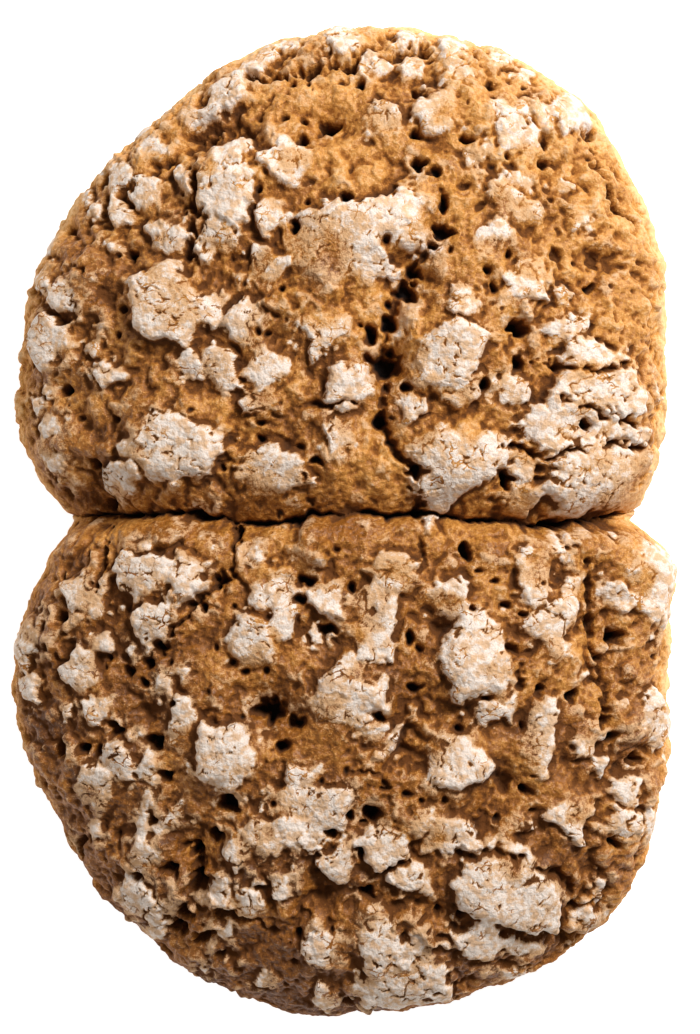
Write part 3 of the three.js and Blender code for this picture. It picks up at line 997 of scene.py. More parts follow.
@dataclass
class Seam:
    """The valley where the two rolls meet, with the split along its floor, given painted shade."""

    line: tuple[tuple[float, float], ...] = SEAM_LINE
    winding_width: float = 0.7
    ragged_width: float = 0.35
    shoulder_drop: float = 4.6
    roundness: float = 2.2
    upper_reach: float = 12.0
    lower_reach: float = 6.0
    split_depth: float = 3.4
    split_half_width: float = 0.38

    def draw(self, place: Placement) -> tuple[np.ndarray, np.ndarray, np.ndarray]:
        """Draws the seam.

        Args:
            place: Where details lie on the sheet.

        Returns:
            How far the crust drops, in millimetres, the painted shade in the split and how close
            each spot is to the seam, both 0 to 1.
        """
        sheet = place.sheet
        points = place.line(self.line)
        level = np.interp(sheet.a, points[:, 0], points[:, 1])
        winding = sheet.b - level + self.winding_width * Noise(41).rough(sheet, 8.0, 2.4)
        ragged = winding + self.ragged_width * Noise(42).rough(sheet, 3.0, 1.8, 0.8)
        reach = np.where(winding > 0.0, self.upper_reach, self.lower_reach)
        shoulder = np.clip(1.0 - np.abs(winding) / reach, 0.0, 1.0) ** self.roundness
        fade = smoothstep(-2.0, 16.0, sheet.above_waist)
        opened = np.clip(0.7 + Noise(43).rough(sheet, 7.0, 2.2), 0.2, 2.0)
        half = self.split_half_width * opened
        inside = smoothstep(1.6, 0.4, np.abs(ragged) / half)
        along_side = 0.1 + 0.9 * smoothstep(-4.0, 10.0, sheet.above_waist)
        split = self.split_depth * along_side * inside * np.minimum(1.0, opened + 0.3)
        beside = smoothstep(5.0, 1.0, np.abs(winding))
        # the second value is the painted shade in the split
        return self.shoulder_drop * fade * shoulder + split, inside * along_side, beside


@dataclass
class TornCrumb:
    """The lumpy, torn surface between the plates: soft lumps that meet in creases."""

    lump_sizes: tuple[float, ...] = (12.0, 6.5, 3.4, 1.8)
    lump_heights: tuple[float, ...] = (2.1, 1.55, 0.5, 0.28)
    level_steps: tuple[float, ...] = (1.7, 1.5, 0.4, 0.2)
    lump_bend: float = 0.35
    lump_roundness: float = 1.9
    crease_softness: float = 0.15
    undulation: float = 0.5
    grain_height: float = 0.2

    def draw(self, sheet: Sheet) -> np.ndarray:
        """Draws the torn surface.

        Args:
            sheet: The flat sheet.

        Returns:
            Its height, in millimetres about a mean of roughly zero.
        """
        bend = tuple(Noise(seed).rough(sheet, 6.0, 2.7) for seed in (51, 52))
        total = sheet.blank()
        for step, size in enumerate(self.lump_sizes):
            bent_a = sheet.a + self.lump_bend * size * bend[0]
            bent_b = sheet.b + self.lump_bend * size * bend[1]
            lumps = Noise(54 + step).cells(bent_a, bent_b, size)
            strength = np.clip(0.7 + 0.9 * Noise(151 + step).rough(sheet, 3.0 * size, 2.2), 0.15, 1.3)
            total += self.lump_heights[step] * strength * (0.4 - lumps.near ** self.lump_roundness)
            total += self.level_steps[step] * strength * (lumps.level - 0.5)
        total = sheet.blur(total, self.crease_softness)
        total += self.undulation * Noise(53).rough(sheet, 4.5, 3.0)
        return total + self.grain_height * Noise(50).rough(sheet, 1.0, 2.2)


@dataclass
class Crust:
    """All the fields of the crust on the flat sheet."""

    sheet: Sheet
    side_reach: float = 13.0
    side_drop: float = 1.0
    swell_size: float = 20.0
    swell_height: float = 0.7
    lobe_strength: float = 0.8
    undercut_depth: float = 0.5
    softness: float = 0.13
    # pale sides, partly a paler bake and partly painted light; painted light on the right, painted shade at
    # the front
    pale_side_and_painted_light: float = 2.1
    painted_light_right: float = 1.3
    painted_shade_front: float = 2.2
    tone_size: float = 16.0
    flour_cells: float = 4.6
    flour_gap_depth: float = 0.6
    patchiness: float = 0.42
    veil: float = 0.48
    relief: np.ndarray = field(init=False, repr=False)
    flour: np.ndarray = field(init=False, repr=False)
    cavity: np.ndarray = field(init=False, repr=False)
    tone: np.ndarray = field(init=False, repr=False)

    def draw(self) -> None:
        """Draws the relief and the colour fields from all kinds of detail."""
        sheet = self.sheet
        place = Placement(sheet)
        rise, hill, flour, undercut = FlouredPlates().draw(place)
        pore_depth, bowl, pore_painted_shade = Pores().draw(place, flour)
        crack_depth, crack_painted_shade = Cracks().draw(place)
        seam_drop, seam_painted_shade, beside_seam = Seam().draw(place)
        crumb = TornCrumb().draw(sheet)
        plate_share = np.clip(rise / 0.5, 0.0, 1.0)
        side = smoothstep(self.side_reach, 0.0, sheet.above_waist)
        crumb *= (1.0 - 0.85 * plate_share) * (1.0 - 0.45 * side) * (1.0 - 0.15 * beside_seam)
        swell = self.swell_height * Noise(61).rough(sheet, self.swell_size, 3.0)
        opened = np.maximum(pore_depth, crack_depth) * (1.0 - 0.5 * side)
        surface = crumb + (rise + hill - bowl) * (1.0 - 0.5 * side)
        surface += swell * (1.0 - 0.6 * side) - self.undercut_depth * undercut
        surface -= self.side_drop * side * (1.0 - beside_seam)
        surface = surface - opened - seam_drop + self.lobe_strength * self._lobes(place)
        self.relief = sheet.blur(surface, self.softness)
        self.tone = self._tone_and_painted_light(side)
        # the cavity field carries painted shade for pores, cracks, the seam, creases and undercuts
        self.cavity = self._cavity(np.maximum(np.maximum(pore_painted_shade, crack_painted_shade), seam_painted_shade), undercut)
        self.flour = self._settled(flour, rise)

    def _lobes(self, place: Placement) -> np.ndarray:
        """Adds up the broad lobes.

        Args:
            place: Where details lie on the sheet.

        Returns:
            Their height, in millimetres.
        """
        total = self.sheet.blank()
        for lobe in LOBES:
            window = place.window(lobe.x, lobe.y, 1.7 * max(lobe.along, lobe.across))
            dx, dy = place.local(window, lobe.x, lobe.y)
            along, across = turned(dx, dy, lobe.turn)
            out = (along / lobe.along) ** 2 + (across / lobe.across) ** 2
            total[window] += lobe.height * np.exp(-out ** 2)
        return total * smoothstep(0.0, 12.0, self.sheet.above_waist)

    def _tone_and_painted_light(self, side: np.ndarray) -> np.ndarray:
        """How pale the crust is painted: patchy at random, lighter towards the back right as painted
        light, pale round the sides, partly from the bake and partly as painted light, paler still
        on the right as painted light and darker at the front as painted shade, and brown low down.

        Args:
            side: Where the sides are, 0 to 1.

        Returns:
            The tone, 0 on average crust and higher where it is paler.
        """
        sheet = self.sheet
        # painted light: paler towards the back right, where the key light comes from
        key_side_painted_light = (0.5 * sheet.a + 0.8 * sheet.b) / 60.0
        rim_band = side * (1.0 - 0.9 * smoothstep(-1.0, -7.0, sheet.above_waist))
        right = np.clip(sheet.a / 60.0, 0.0, 1.0)
        front = smoothstep(-50.0, -95.0, sheet.b)
        # rim: pale partly from the bake and partly as painted light, painted light on the right, painted
        # shade at the front
        rim = rim_band * (self.pale_side_and_painted_light + self.painted_light_right * right - self.painted_shade_front * front)
        return 0.8 * Noise(62).rough(sheet, self.tone_size, 1.8) + 0.8 * key_side_painted_light + rim

    def _settled(self, flour: np.ndarray, rise: np.ndarray) -> np.ndarray:
        """Flour after baking: cracked and patchy on the plates, a thin veil on what stands proud.

        Args:
            flour: The plates' own flour.
            rise: How high the plates stand.

        Returns:
            The flour, 0 to 1.
        """
        sheet = self.sheet
        bend = tuple(Noise(seed).rough(sheet, 3.0, 2.6) for seed in (63, 64))
        bent_a, bent_b = sheet.a + 0.9 * bend[0], (sheet.b + 0.9 * bend[1]) * 1.5
        border = Noise(65).cells(bent_a, bent_b, self.flour_cells).border
        gap = smoothstep(0.075, 0.02, border) * smoothstep(-0.05, 0.3, Noise(66).rough(sheet, 6.0, 2.2))
        self.relief = self.relief - self.flour_gap_depth * gap * np.clip(rise, 0.0, 1.0)
        # painted shade in the gaps between the cracked pieces of flour
        self.cavity = np.maximum(self.cavity, 0.4 * gap * np.clip(rise / 0.5, 0.0, 1.0))
        proud = self.relief - sheet.blur(self.relief, 1.8)
        patchy = self.patchiness * Noise(68).rough(sheet, 6.0, 2.8)
        thick = flour + patchy * smoothstep(0.1, 0.6, flour) + 0.3 * proud * (flour > 0.1)
        thin = smoothstep(-0.4, 0.7, Noise(67).rough(sheet, 11.0, 1.7))
        dust = self.veil * thin * smoothstep(0.0, 0.7, proud)
        return np.maximum(np.clip(thick, 0.0, 1.0) * (1.0 - 0.9 * gap), dust)

    def _cavity(self, opened: np.ndarray, undercut: np.ndarray) -> np.ndarray:
        """How sunken each spot is, which the finish paints as shade: below 0 on proud tops, which it
        paints lighter as a painted highlight, 0 on a plain top, about 0.5 in a crease, 1 deep in a pore.

        Args:
            opened: Painted shade of the pores, the cracks and the seam.
            undercut: How undercut the crust is beside the plates.

        Returns:
            The sunken share.
        """
        near, wide, broad = (self.sheet.blur(self.relief, reach) - self.relief for reach in (0.7, 2.4, 6.0))
        # negative on proud tops, painted lighter as a highlight; positive in creases, painted as shade
        crease = np.clip(0.6 * near + 0.15 * wide + 0.035 * broad, -0.5, 0.6)
        # painted shade beside the plates, most where they lift
        return np.maximum(crease + 0.12 * undercut, opened)


# ---- The mesh ----------------------------------------------------------------------------------


@dataclass
class RollMesh:
    """The wrapped mesh: an even grid over the crust, closed by rings under the base."""

    cells_across: int = 640
    cells_along: int = 880
    base_halvings: int = 2
    base_ring_step: float = 0.9
    base_fade: float = 3.0
    base_slimness: float = 0.67
    base_roughness: float = 0.35
    map_margin: float = 0.01

    def build(self, crust: Crust) -> bpy.types.Object:
        """Builds the roll's mesh.

        Args:
            crust: The drawn crust.

        Returns:
            The new object, in metres, with its fields as point attributes and its UV map.
        """
        form, sheet = crust.sheet.form, crust.sheet
        angle, way = self._grid(form)
        points = form.points(angle, way) + self._displacement(crust, angle, way)
        length = form.arc(angle, way)
        a, b = length * np.cos(angle), length * np.sin(angle)
        points[..., 2] = np.maximum(points[..., 2], 0.0)
        vertices = points.reshape(-1, 3)
        quads = self._quads()
        base_points, base_faces = self._base(sheet, vertices, self._base_edge())
        base_fields = self._base_fields(sheet, base_points)
        obj = self._mesh(np.concatenate([vertices, base_points]), quads, base_faces)
        # the tone field holds painted light and shade beside the bake's own tone; the cavity field holds
        # painted shade
        for name, drawn in (("flour", crust.flour), ("cavity", crust.cavity), ("tone", crust.tone)):
            layer = obj.data.attributes.new(name, "FLOAT", "POINT")
            whole = np.concatenate([sheet.sample(drawn, a, b).ravel(), base_fields[name]])
            layer.data.foreach_set("value", whole.astype(np.float32))
        self._map(obj, a.ravel(), b.ravel(), len(quads))
        return obj

    def _grid(self, form: BakedForm) -> tuple[np.ndarray, np.ndarray]:
        """Direction and way of each grid point: a square grid bent into a disc.

        Args:
            form: The smooth form.

        Returns:
            Two arrays of rows along Y and columns along X.
        """
        u, v = np.meshgrid(np.linspace(-1.0, 1.0, self.cells_across + 1),
                           np.linspace(-1.0, 1.0, self.cells_along + 1))
        wide = np.abs(u) > np.abs(v)
        longer = np.where(wide, u, v)
        shorter = np.where(wide, v, u)
        safe = np.where(longer == 0.0, 1.0, longer)
        sweep = (math.pi / 4.0) * shorter / safe
        disc_x = longer * np.where(wide, np.cos(sweep), np.sin(sweep))
        disc_y = longer * np.where(wide, np.sin(sweep), np.cos(sweep))
        half_length = form.roll_radius + form.roll_offset
        angle = np.arctan2(disc_y * half_length, disc_x * form.roll_radius)
        return angle, np.abs(longer)

    def _displacement(self, crust: Crust, angle: np.ndarray, way: np.ndarray) -> np.ndarray:
        """How far the relief moves each grid point, as vectors in millimetres.

        Args:
            crust: The drawn crust.
            angle: Directions of the points.
            way: How far each point is on the way to the base edge.

        Returns:
            The vectors.
        """
        form, sheet = crust.sheet.form, crust.sheet
        length = form.arc(angle, way)
        relief = sheet.sample(crust.relief, length * np.cos(angle), length * np.sin(angle))
        to_edge = form.arc(angle, np.ones_like(way)) - length
        relief = relief * smoothstep(0.0, self.base_fade, to_edge)
        points = form.points(angle, way)
        normal = np.cross(np.gradient(points, axis=1), np.gradient(points, axis=0))
        normal[..., 1] *= smoothstep(1.0, 14.0, np.abs(points[..., 1]))
        size = np.linalg.norm(normal, axis=-1, keepdims=True)
        return relief[..., None] * normal / np.maximum(size, 1e-9)

    def _quads(self) -> np.ndarray:
        """Joins the grid's points into faces.

        Returns:
            Four points for each face, turning so that it faces out.
        """
        columns = self.cells_across + 1
        corner = (np.arange(self.cells_along)[:, None] * columns + np.arange(self.cells_across)[None, :])
        a = corner.ravel()
        return np.stack([a, a + 1, a + 1 + columns, a + columns], axis=1)

    def _base_edge(self) -> np.ndarray:
        """Finds the grid points around the base edge.

        Returns:
            Their numbers, anticlockwise from above.
        """
        columns, rows = self.cells_across, self.cells_along
        stride = columns + 1
        front = np.arange(0, columns)
        right = columns + stride * np.arange(0, rows)
        back = rows * stride + np.arange(columns, 0, -1)
        left = stride * np.arange(rows, 0, -1)
        return np.concatenate([front, right, back, left])

    def _base(self, sheet: Sheet, vertices: np.ndarray,
              edge: np.ndarray) -> tuple[np.ndarray, list[tuple[int, ...]]]:
        """Closes the roll underneath with rings that shrink towards the middle.

        Args:
            sheet: The flat sheet.
            vertices: The crust's points.
            edge: The crust's points around the base edge.

        Returns:
            The added points, and faces that number them after the crust's own.
        """
        rim = vertices[edge, :2]
        ring, added, faces = edge, [], []
        count = len(vertices)
        least_reach = float(np.hypot(rim[:, 0], rim[:, 1]).min())
        steps = int(least_reach / self.base_ring_step)
        for step in range(1, steps):
            halve = step <= self.base_halvings
            spread = 2 ** min(step, self.base_halvings)
            share = 1.0 - step / steps
            points = np.zeros((len(edge) // spread, 3))
            points[:, :2] = rim[::spread] * share
            added.append(points)
            inner = count + np.arange(len(points))
            faces += self._band(ring, inner, halve)
            ring, count = inner, count + len(points)
        added.append(np.zeros((1, 3)))
        faces += [(count, int(ring[(i + 1) % len(ring)]), int(ring[i])) for i in range(len(ring))]
        base = np.concatenate(added)
        fade = smoothstep(0.0, 6.0, least_reach - np.hypot(base[:, 0], base[:, 1] * self.base_slimness))
        pits = sheet.sample(Noise(81).rough(sheet, 5.0, 2.0), base[:, 0], base[:, 1])
        base[:, 2] = self.base_roughness * fade * np.maximum(0.0, pits)
        return base, faces

    @staticmethod
    def _band(outer: np.ndarray, inner: np.ndarray, halve: bool) -> list[tuple[int, ...]]:
        """Faces between two rings, seen from below.

        Args:
            outer: Points of the outer ring.
            inner: Points of the inner ring, as many or half as many.
            halve: Whether the inner ring has half as many points.

        Returns:
            The faces.
        """
        count = len(inner)
        faces = []
        for i in range(count):
            k = (i + 1) % count
            if halve:
                p, q, r = outer[2 * i], outer[2 * i + 1], outer[(2 * i + 2) % len(outer)]
                faces.append((int(p), int(inner[i]), int(q)))
                faces.append((int(q), int(inner[i]), int(inner[k])))
                faces.append((int(q), int(inner[k]), int(r)))
            else:
                faces.append((int(outer[i]), int(inner[i]), int(inner[k]), int(outer[k])))
        return faces

    @staticmethod
    def _base_fields(sheet: Sheet, base: np.ndarray) -> dict[str, np.ndarray]:
        """Colour fields under the base, where the crust is dark and lightly floured.

        Args:
            sheet: The flat sheet, whose noise is used.
            base: Points under the base, in millimetres.

        Returns:
            The flour, cavity and tone of each point, by name.
        """
        dust = sheet.sample(Noise(82).rough(sheet, 11.0, 1.7), base[:, 0], base[:, 1])
        tone = sheet.sample(Noise(83).rough(sheet, 16.0, 1.8), base[:, 0], base[:, 1])
        # the cavity paints shade into the pits under the base
        return {"flour": 0.35 + 0.3 * dust, "cavity": 0.3 * base[:, 2], "tone": 0.5 * tone - 0.5}

    @staticmethod
    def _mesh(points: np.ndarray, quads: np.ndarray, base_faces: list[tuple[int, ...]]) -> bpy.types.Object:
        """Makes the mesh in metres, smooth shaded.

        Args:
            points: All points, in millimetres.
            quads: The crust's faces.
            base_faces: The faces under the base.

        Returns:
            The new object.
        """
        mesh = bpy.data.meshes.new("rye_crust_and_crumb")
        sizes = np.concatenate([np.full(len(quads), 4), [len(f) for f in base_faces]])
        loops = np.concatenate([quads.ravel(), np.concatenate([np.array(f) for f in base_faces])])
        mesh.vertices.add(len(points))
        mesh.vertices.foreach_set("co", (points * MM).astype(np.float32).ravel())
        mesh.loops.add(len(loops))
        mesh.loops.foreach_set("vertex_index", loops.astype(np.int32))
        mesh.polygons.add(len(sizes))
        starts = np.concatenate([[0], np.cumsum(sizes)[:-1]])
        mesh.polygons.foreach_set("loop_start", starts.astype(np.int32))
        mesh.update(calc_edges=True)
        mesh.polygons.foreach_set("use_smooth", np.ones(len(sizes), bool))
        mesh.validate()
        obj = bpy.data.objects.new("rye_crust_and_crumb", mesh)
        bpy.context.scene.collection.objects.link(obj)
        return obj

    def _map(self, obj: bpy.types.Object, a: np.ndarray, b: np.ndarray, quads: int) -> None:
        """Maps the crust as the flat sheet, and the base beside it.

        Args:
            obj: The roll.
            a: Places of the crust's points across the sheet, in millimetres.
            b: Places of the crust's points along the sheet, in millimetres.
            quads: How many of the first faces belong to the crust.
        """
        mesh = obj.data
        layer = mesh.uv_layers.new(name="OFBake")
        loops = np.zeros(len(mesh.loops), np.int32)
        mesh.loops.foreach_get("vertex_index", loops)
        margin = self.map_margin
        scale = (1.0 - 2.0 * margin) / (b.max() - b.min())
        crust_u = margin + (a - a.min()) * scale
        crust_v = margin + (b - b.min()) * scale
        places = np.zeros(len(mesh.vertices) * 3, np.float32)
        mesh.vertices.foreach_get("co", places)
        places = places.reshape(-1, 3) / MM
        left = crust_u.max() + 1.5 * margin
        base_scale = (1.0 - margin - left) / (places[:, 0].max() - places[:, 0].min())
        base_u = left + (places[:, 0] - places[:, 0].min()) * base_scale
        base_v = margin + (places[:, 1] - places[:, 1].min()) * base_scale
        crust_loops = 4 * quads
        coords = np.stack([base_u[loops], base_v[loops]], axis=1)
        own = loops[:crust_loops]
        coords[:crust_loops] = np.stack([crust_u[own], crust_v[own]], axis=1)
        layer.data.foreach_set("uv", coords.astype(np.float32).ravel())


# ---- Finishes ----------------------------------------------------------------------------------

Source = bpy.types.NodeSocket | float


class Recipe:
    """A material under construction, with short methods for the nodes that finishes use."""

    def __init__(self, name: str) -> None:
        """Starts an empty node material.

        Args:
            name: The material's name.
        """
        self.material = bpy.data.materials.new(name)
        self.material.use_nodes = True
        self.tree = self.material.node_tree
        self.tree.nodes.clear()

    def node(self, kind: str, **settings: object) -> bpy.types.Node:
        """Adds a node.

        Args:
            kind: The node's type.
            **settings: Properties to set on it.

        Returns:
            The node.
        """
        made = self.tree.nodes.new(kind)
        for name, value in settings.items():
            setattr(made, name, value)
        return made

    def feed(self, socket: bpy.types.NodeSocket, source: Source | Colour) -> None:
        """Links a source to a socket, or sets the socket to a plain value.

        Args:
            socket: The socket that takes it.
            source: Another socket, a number or a colour.
        """
        if isinstance(source, bpy.types.NodeSocket):
            self.tree.links.new(source, socket)
        else:
            socket.default_value = source

    def field(self, name: str) -> bpy.types.NodeSocket:
        """Reads one of the mesh's point fields."""
        return self.node("ShaderNodeAttribute", attribute_name=name).outputs["Fac"]

    def place(self) -> bpy.types.NodeSocket:
        """Places in the object's own space, in metres."""
        return self.node("ShaderNodeTexCoord").outputs["Object"]

    def noise(self, per_metre: float, detail: float, roughness: float = 0.5) -> bpy.types.Node:
        """Adds noise in the object's own space.

        Args:
            per_metre: How many swells there are in a metre.
            detail: How many finer layers are on top.
            roughness: Strength of the finer layers.

        Returns:
            The noise node, whose Fac is roughly 0.3 to 0.7.
        """
        made = self.node("ShaderNodeTexNoise", noise_dimensions="3D")
        self.feed(made.inputs["Vector"], self.place())
        made.inputs["Scale"].default_value = per_metre
        made.inputs["Detail"].default_value = detail
        made.inputs["Roughness"].default_value = roughness
        return made

    def maths(self, operation: str, first: Source, second: Source = 0.0,
              third: Source = 0.0) -> bpy.types.NodeSocket:
        """Adds a sum of up to three sources.

        Args:
            operation: Kind of sum.
            first: The first source.
            second: The second source.
            third: The third source, for sums that take one.

        Returns:
            The result.
        """
        made = self.node("ShaderNodeMath", operation=operation)
        for socket, source in zip(made.inputs, (first, second, third)):
            self.feed(socket, source)
        return made.outputs["Value"]

    def span(self, value: Source, low: float, high: float, to_low: float = 0.0,
             to_high: float = 1.0) -> bpy.types.NodeSocket:
        """Spreads a value smoothly from one range over another.

        Args:
            value: What is spread.
            low: Start of its range.
            high: End of its range.
            to_low: What the start becomes.
            to_high: What the end becomes.

        Returns:
            The new value, held inside the new range.
        """
        made = self.node("ShaderNodeMapRange", interpolation_type="SMOOTHSTEP")
        for name, source in (("Value", value), ("From Min", low), ("From Max", high),
                             ("To Min", to_low), ("To Max", to_high)):
            self.feed(made.inputs[name], source)
        return made.outputs["Result"]

    def blend(self, share: Source, first: Source | Colour,
              second: Source | Colour) -> bpy.types.NodeSocket:
        """Blends two colours.

        Args:
            share: How much of the second colour there is, 0 to 1.
            first: The first colour.
            second: The second colour.

        Returns:
            The blend.
        """
        made = self.node("ShaderNodeMix", data_type="RGBA", blend_type="MIX")
        self.feed(made.inputs[0], share)
        self.feed(made.inputs[6], first)
        self.feed(made.inputs[7], second)
        return made.outputs[2]

    def ramp(self, value: Source, stops: tuple[tuple[float, Colour], ...]) -> bpy.types.NodeSocket:
        """Turns a value into a colour.

        Args:
            value: The value, 0 to 1.
            stops: Positions along the value and their colours, with straight blends between.

        Returns:
            The colour.
        """
        made = self.node("ShaderNodeValToRGB")
        band = made.color_ramp
        while len(band.elements) < len(stops):
            band.elements.new(0.5)
        for element, (position, colour) in zip(band.elements, stops):
            element.position = position
            element.color = colour
        self.feed(made.inputs["Fac"], value)
        return made.outputs["Color"]


@dataclass(frozen=True)
class RyeCrustFinish:
    """Baked rye crust: golden-brown torn crumb, painted shade in its creases and pores, and dry flour.

    Noise scales are in swells for each metre, and heights in metres.
    """

    # painted shade: the crust's colour deep in creases, also the darkest stop of its tone
    shadow: Colour = srgb(94, 51, 8)
    brown: Colour = srgb(146, 88, 28)
    golden: Colour = srgb(200, 138, 64)
    pale: Colour = srgb(233, 190, 134)
    flour: Colour = srgb(228, 215, 204)
    thin_flour: Colour = srgb(209, 167, 123)
    # painted shade: near black deep in pores, cracks and the seam's split
    deep_shade: Colour = srgb(16, 4, 0)
    mean_tone: float = 0.39
    grain_scale: float = 1150.0
    speck_scale: float = 4200.0
    worn_scale: float = 560.0
    pepper_scale: float = 4600.0
    crackle_scale: float = 420.0
    crackle_wander_scale: float = 600.0
    crackle_wander: float = 2.2 * MM
    crackle_patch_scale: float = 220.0
    crust_roughness: float = 0.44
    flour_roughness: float = 0.95
    dull_below: float = 9.0 * MM
    waxy_above: float = 24.0 * MM
    shine: float = 0.36
    bump_height: float = 0.5 * MM

    def material(self) -> bpy.types.Material:
        """Builds the material from the roll's flour, cavity and tone fields.

        Returns:
            The material.
        """
        recipe = Recipe("baked_rye_crust")
        grain = recipe.noise(self.grain_scale, 2.5).outputs["Fac"]
        speck = recipe.noise(self.speck_scale, 2.0, 0.6).outputs["Fac"]
        cavity = recipe.field("cavity")
        crackle = self._crackle(recipe)
        crust = self._crust(recipe, grain, speck, cavity)
        amount = self._amount(recipe, grain, speck, cavity)
        amount = recipe.maths("MULTIPLY_ADD", crackle, -0.85, amount)
        floured = self._floured(recipe, crust, amount)
        # painted shade: creases blend towards the shadow colour
        crease_painted_shade = recipe.blend(recipe.span(cavity, 0.35, 0.8, 0.0, 0.6), floured, self.shadow)
        # painted shade: the deepest spots turn near black
        colour = recipe.blend(recipe.span(cavity, 0.5, 0.95), crease_painted_shade, self.deep_shade)

        shader = recipe.node("ShaderNodeBsdfPrincipled")
        recipe.feed(shader.inputs["Base Color"], colour)
        recipe.feed(shader.inputs["Roughness"], self._roughness(recipe, amount, cavity))
        shader.inputs["Specular IOR Level"].default_value = self.shine
        recipe.feed(shader.inputs["Normal"], self._bump(recipe, grain, speck, crackle))
        output = recipe.node("ShaderNodeOutputMaterial")
        recipe.feed(output.inputs["Surface"], shader.outputs["BSDF"])
        return recipe.material

    def _crust(self, recipe: Recipe, grain: Source, speck: Source, cavity: Source) -> Source:
        """Colour of the bare crust, with painted shade in creases, a painted highlight on proud tops and
        pale specks that are partly painted glints.

        Args:
            recipe: The material under construction.
            grain: Noise at the size of a crumb.
            speck: Noise at the size of a grain of bran.
            cavity: How sunken the crust is, which darkens it as painted shade.

        Returns:
            The colour.
        """
        # the tone field holds painted light and shade beside the bake's own tone
        tone = recipe.maths("MULTIPLY_ADD", recipe.field("tone"), 0.15, self.mean_tone)
        tone = recipe.maths("MULTIPLY_ADD", recipe.maths("SUBTRACT", grain, 0.5), 0.6, tone)
        tone = recipe.maths("MULTIPLY_ADD", recipe.maths("SUBTRACT", speck, 0.5), 0.45, tone)
        # pale specks: partly grains of flour, partly painted glints
        tone = recipe.maths("ADD", tone, recipe.span(speck, 0.66, 0.76, 0.0, 0.4))
        # painted shade in creases and a painted highlight on proud tops
        tone = recipe.maths("MULTIPLY_ADD", cavity, -1.05, tone)
        return recipe.ramp(tone, ((0.05, self.shadow), (0.3, self.brown), (0.55, self.golden),
                                  (0.85, self.pale)))

    @staticmethod
    def _amount(recipe: Recipe, grain: Source, speck: Source, cavity: Source) -> Source:
        """How much flour lies on the crust: uneven at the size of crumbs and missing in creases.

        Args:
            recipe: The material under construction.
            grain: Noise at the size of a crumb.
            speck: Noise at the size of a grain of bran.
            cavity: How sunken the crust is.

        Returns:
            The amount, about 0 to 1.
        """
        amount = recipe.field("flour")
        amount = recipe.maths("MULTIPLY_ADD", recipe.maths("SUBTRACT", grain, 0.5), 0.8, amount)
        amount = recipe.maths("MULTIPLY_ADD", recipe.maths("SUBTRACT", speck, 0.5), 0.7, amount)
        return recipe.maths("MULTIPLY_ADD", cavity, -1.2, amount)

    def _floured(self, recipe: Recipe, crust: Source, amount: Source) -> Source:
        """Colour of the crust with its flour: a thin veil first, and white heaps where it is thick.

        Args:
            recipe: The material under construction.
            crust: Colour of the bare crust.
            amount: How much flour lies on it.

        Returns:
            The colour.
        """
        worn = recipe.span(recipe.noise(self.worn_scale, 3.0).outputs["Fac"], 0.38, 0.57, 0.2, 1.0)
        pepper = recipe.span(recipe.noise(self.pepper_scale, 1.0).outputs["Fac"], 0.38, 0.5, 0.55, 1.0)
        thick = recipe.span(amount, 0.42, 0.86)
        heap = recipe.maths("MULTIPLY", thick, recipe.maths("MULTIPLY", worn, pepper))
        veil = recipe.span(amount, 0.1, 0.48, 0.0, 0.85)
        return recipe.blend(heap, recipe.blend(veil, crust, self.thin_flour), self.flour)

    def _roughness(self, recipe: Recipe, amount: Source, cavity: Source) -> Source:
        """Roughness of the surface: the crust is waxy on the crown and dull in creases, low on the
        sides and under flour.

        Args:
            recipe: The material under construction.
            amount: How much flour lies on the crust.
            cavity: How sunken the crust is.

        Returns:
            The roughness.
        """
        split = recipe.node("ShaderNodeSeparateXYZ")
        recipe.feed(split.inputs["Vector"], recipe.place())
        low = recipe.span(split.outputs["Z"], self.dull_below, self.waxy_above, 0.5, 0.0)
        dull = recipe.maths("ADD", low, recipe.span(cavity, 0.0, 0.3, 0.0, 0.5))
        dry = recipe.span(amount, 0.1, 0.6, self.crust_roughness, self.flour_roughness)
        return recipe.maths("MINIMUM", recipe.maths("ADD", dry, dull), 1.0)

    def _crackle(self, recipe: Recipe) -> Source:
        """Hair cracks in the dry flour, which come in patches.

        Args:
            recipe: The material under construction.

        Returns:
            1 in a crack, 0 beside it.
        """
        wander = recipe.noise(self.crackle_wander_scale, 3.0)
        shift = recipe.node("ShaderNodeVectorMath", operation="MULTIPLY_ADD")
        recipe.feed(shift.inputs[0], wander.outputs["Color"])
        shift.inputs[1].default_value = (self.crackle_wander,) * 3
        recipe.feed(shift.inputs[2], recipe.place())
        squeeze = recipe.node("ShaderNodeMapping")
        squeeze.inputs["Scale"].default_value = (0.7, 1.3, 1.0)
        recipe.feed(squeeze.inputs["Vector"], shift.outputs["Vector"])
        cells = recipe.node("ShaderNodeTexVoronoi", voronoi_dimensions="3D", feature="DISTANCE_TO_EDGE")
        recipe.feed(cells.inputs["Vector"], squeeze.outputs["Vector"])
        cells.inputs["Scale"].default_value = self.crackle_scale
        patch = recipe.noise(self.crackle_patch_scale, 2.0).outputs["Fac"]
        width = recipe.span(patch, 0.5, 0.7, -0.035, 0.06)
        return recipe.span(recipe.maths("SUBTRACT", cells.outputs["Distance"], width), 0.0, 0.03, 1.0, 0.0)

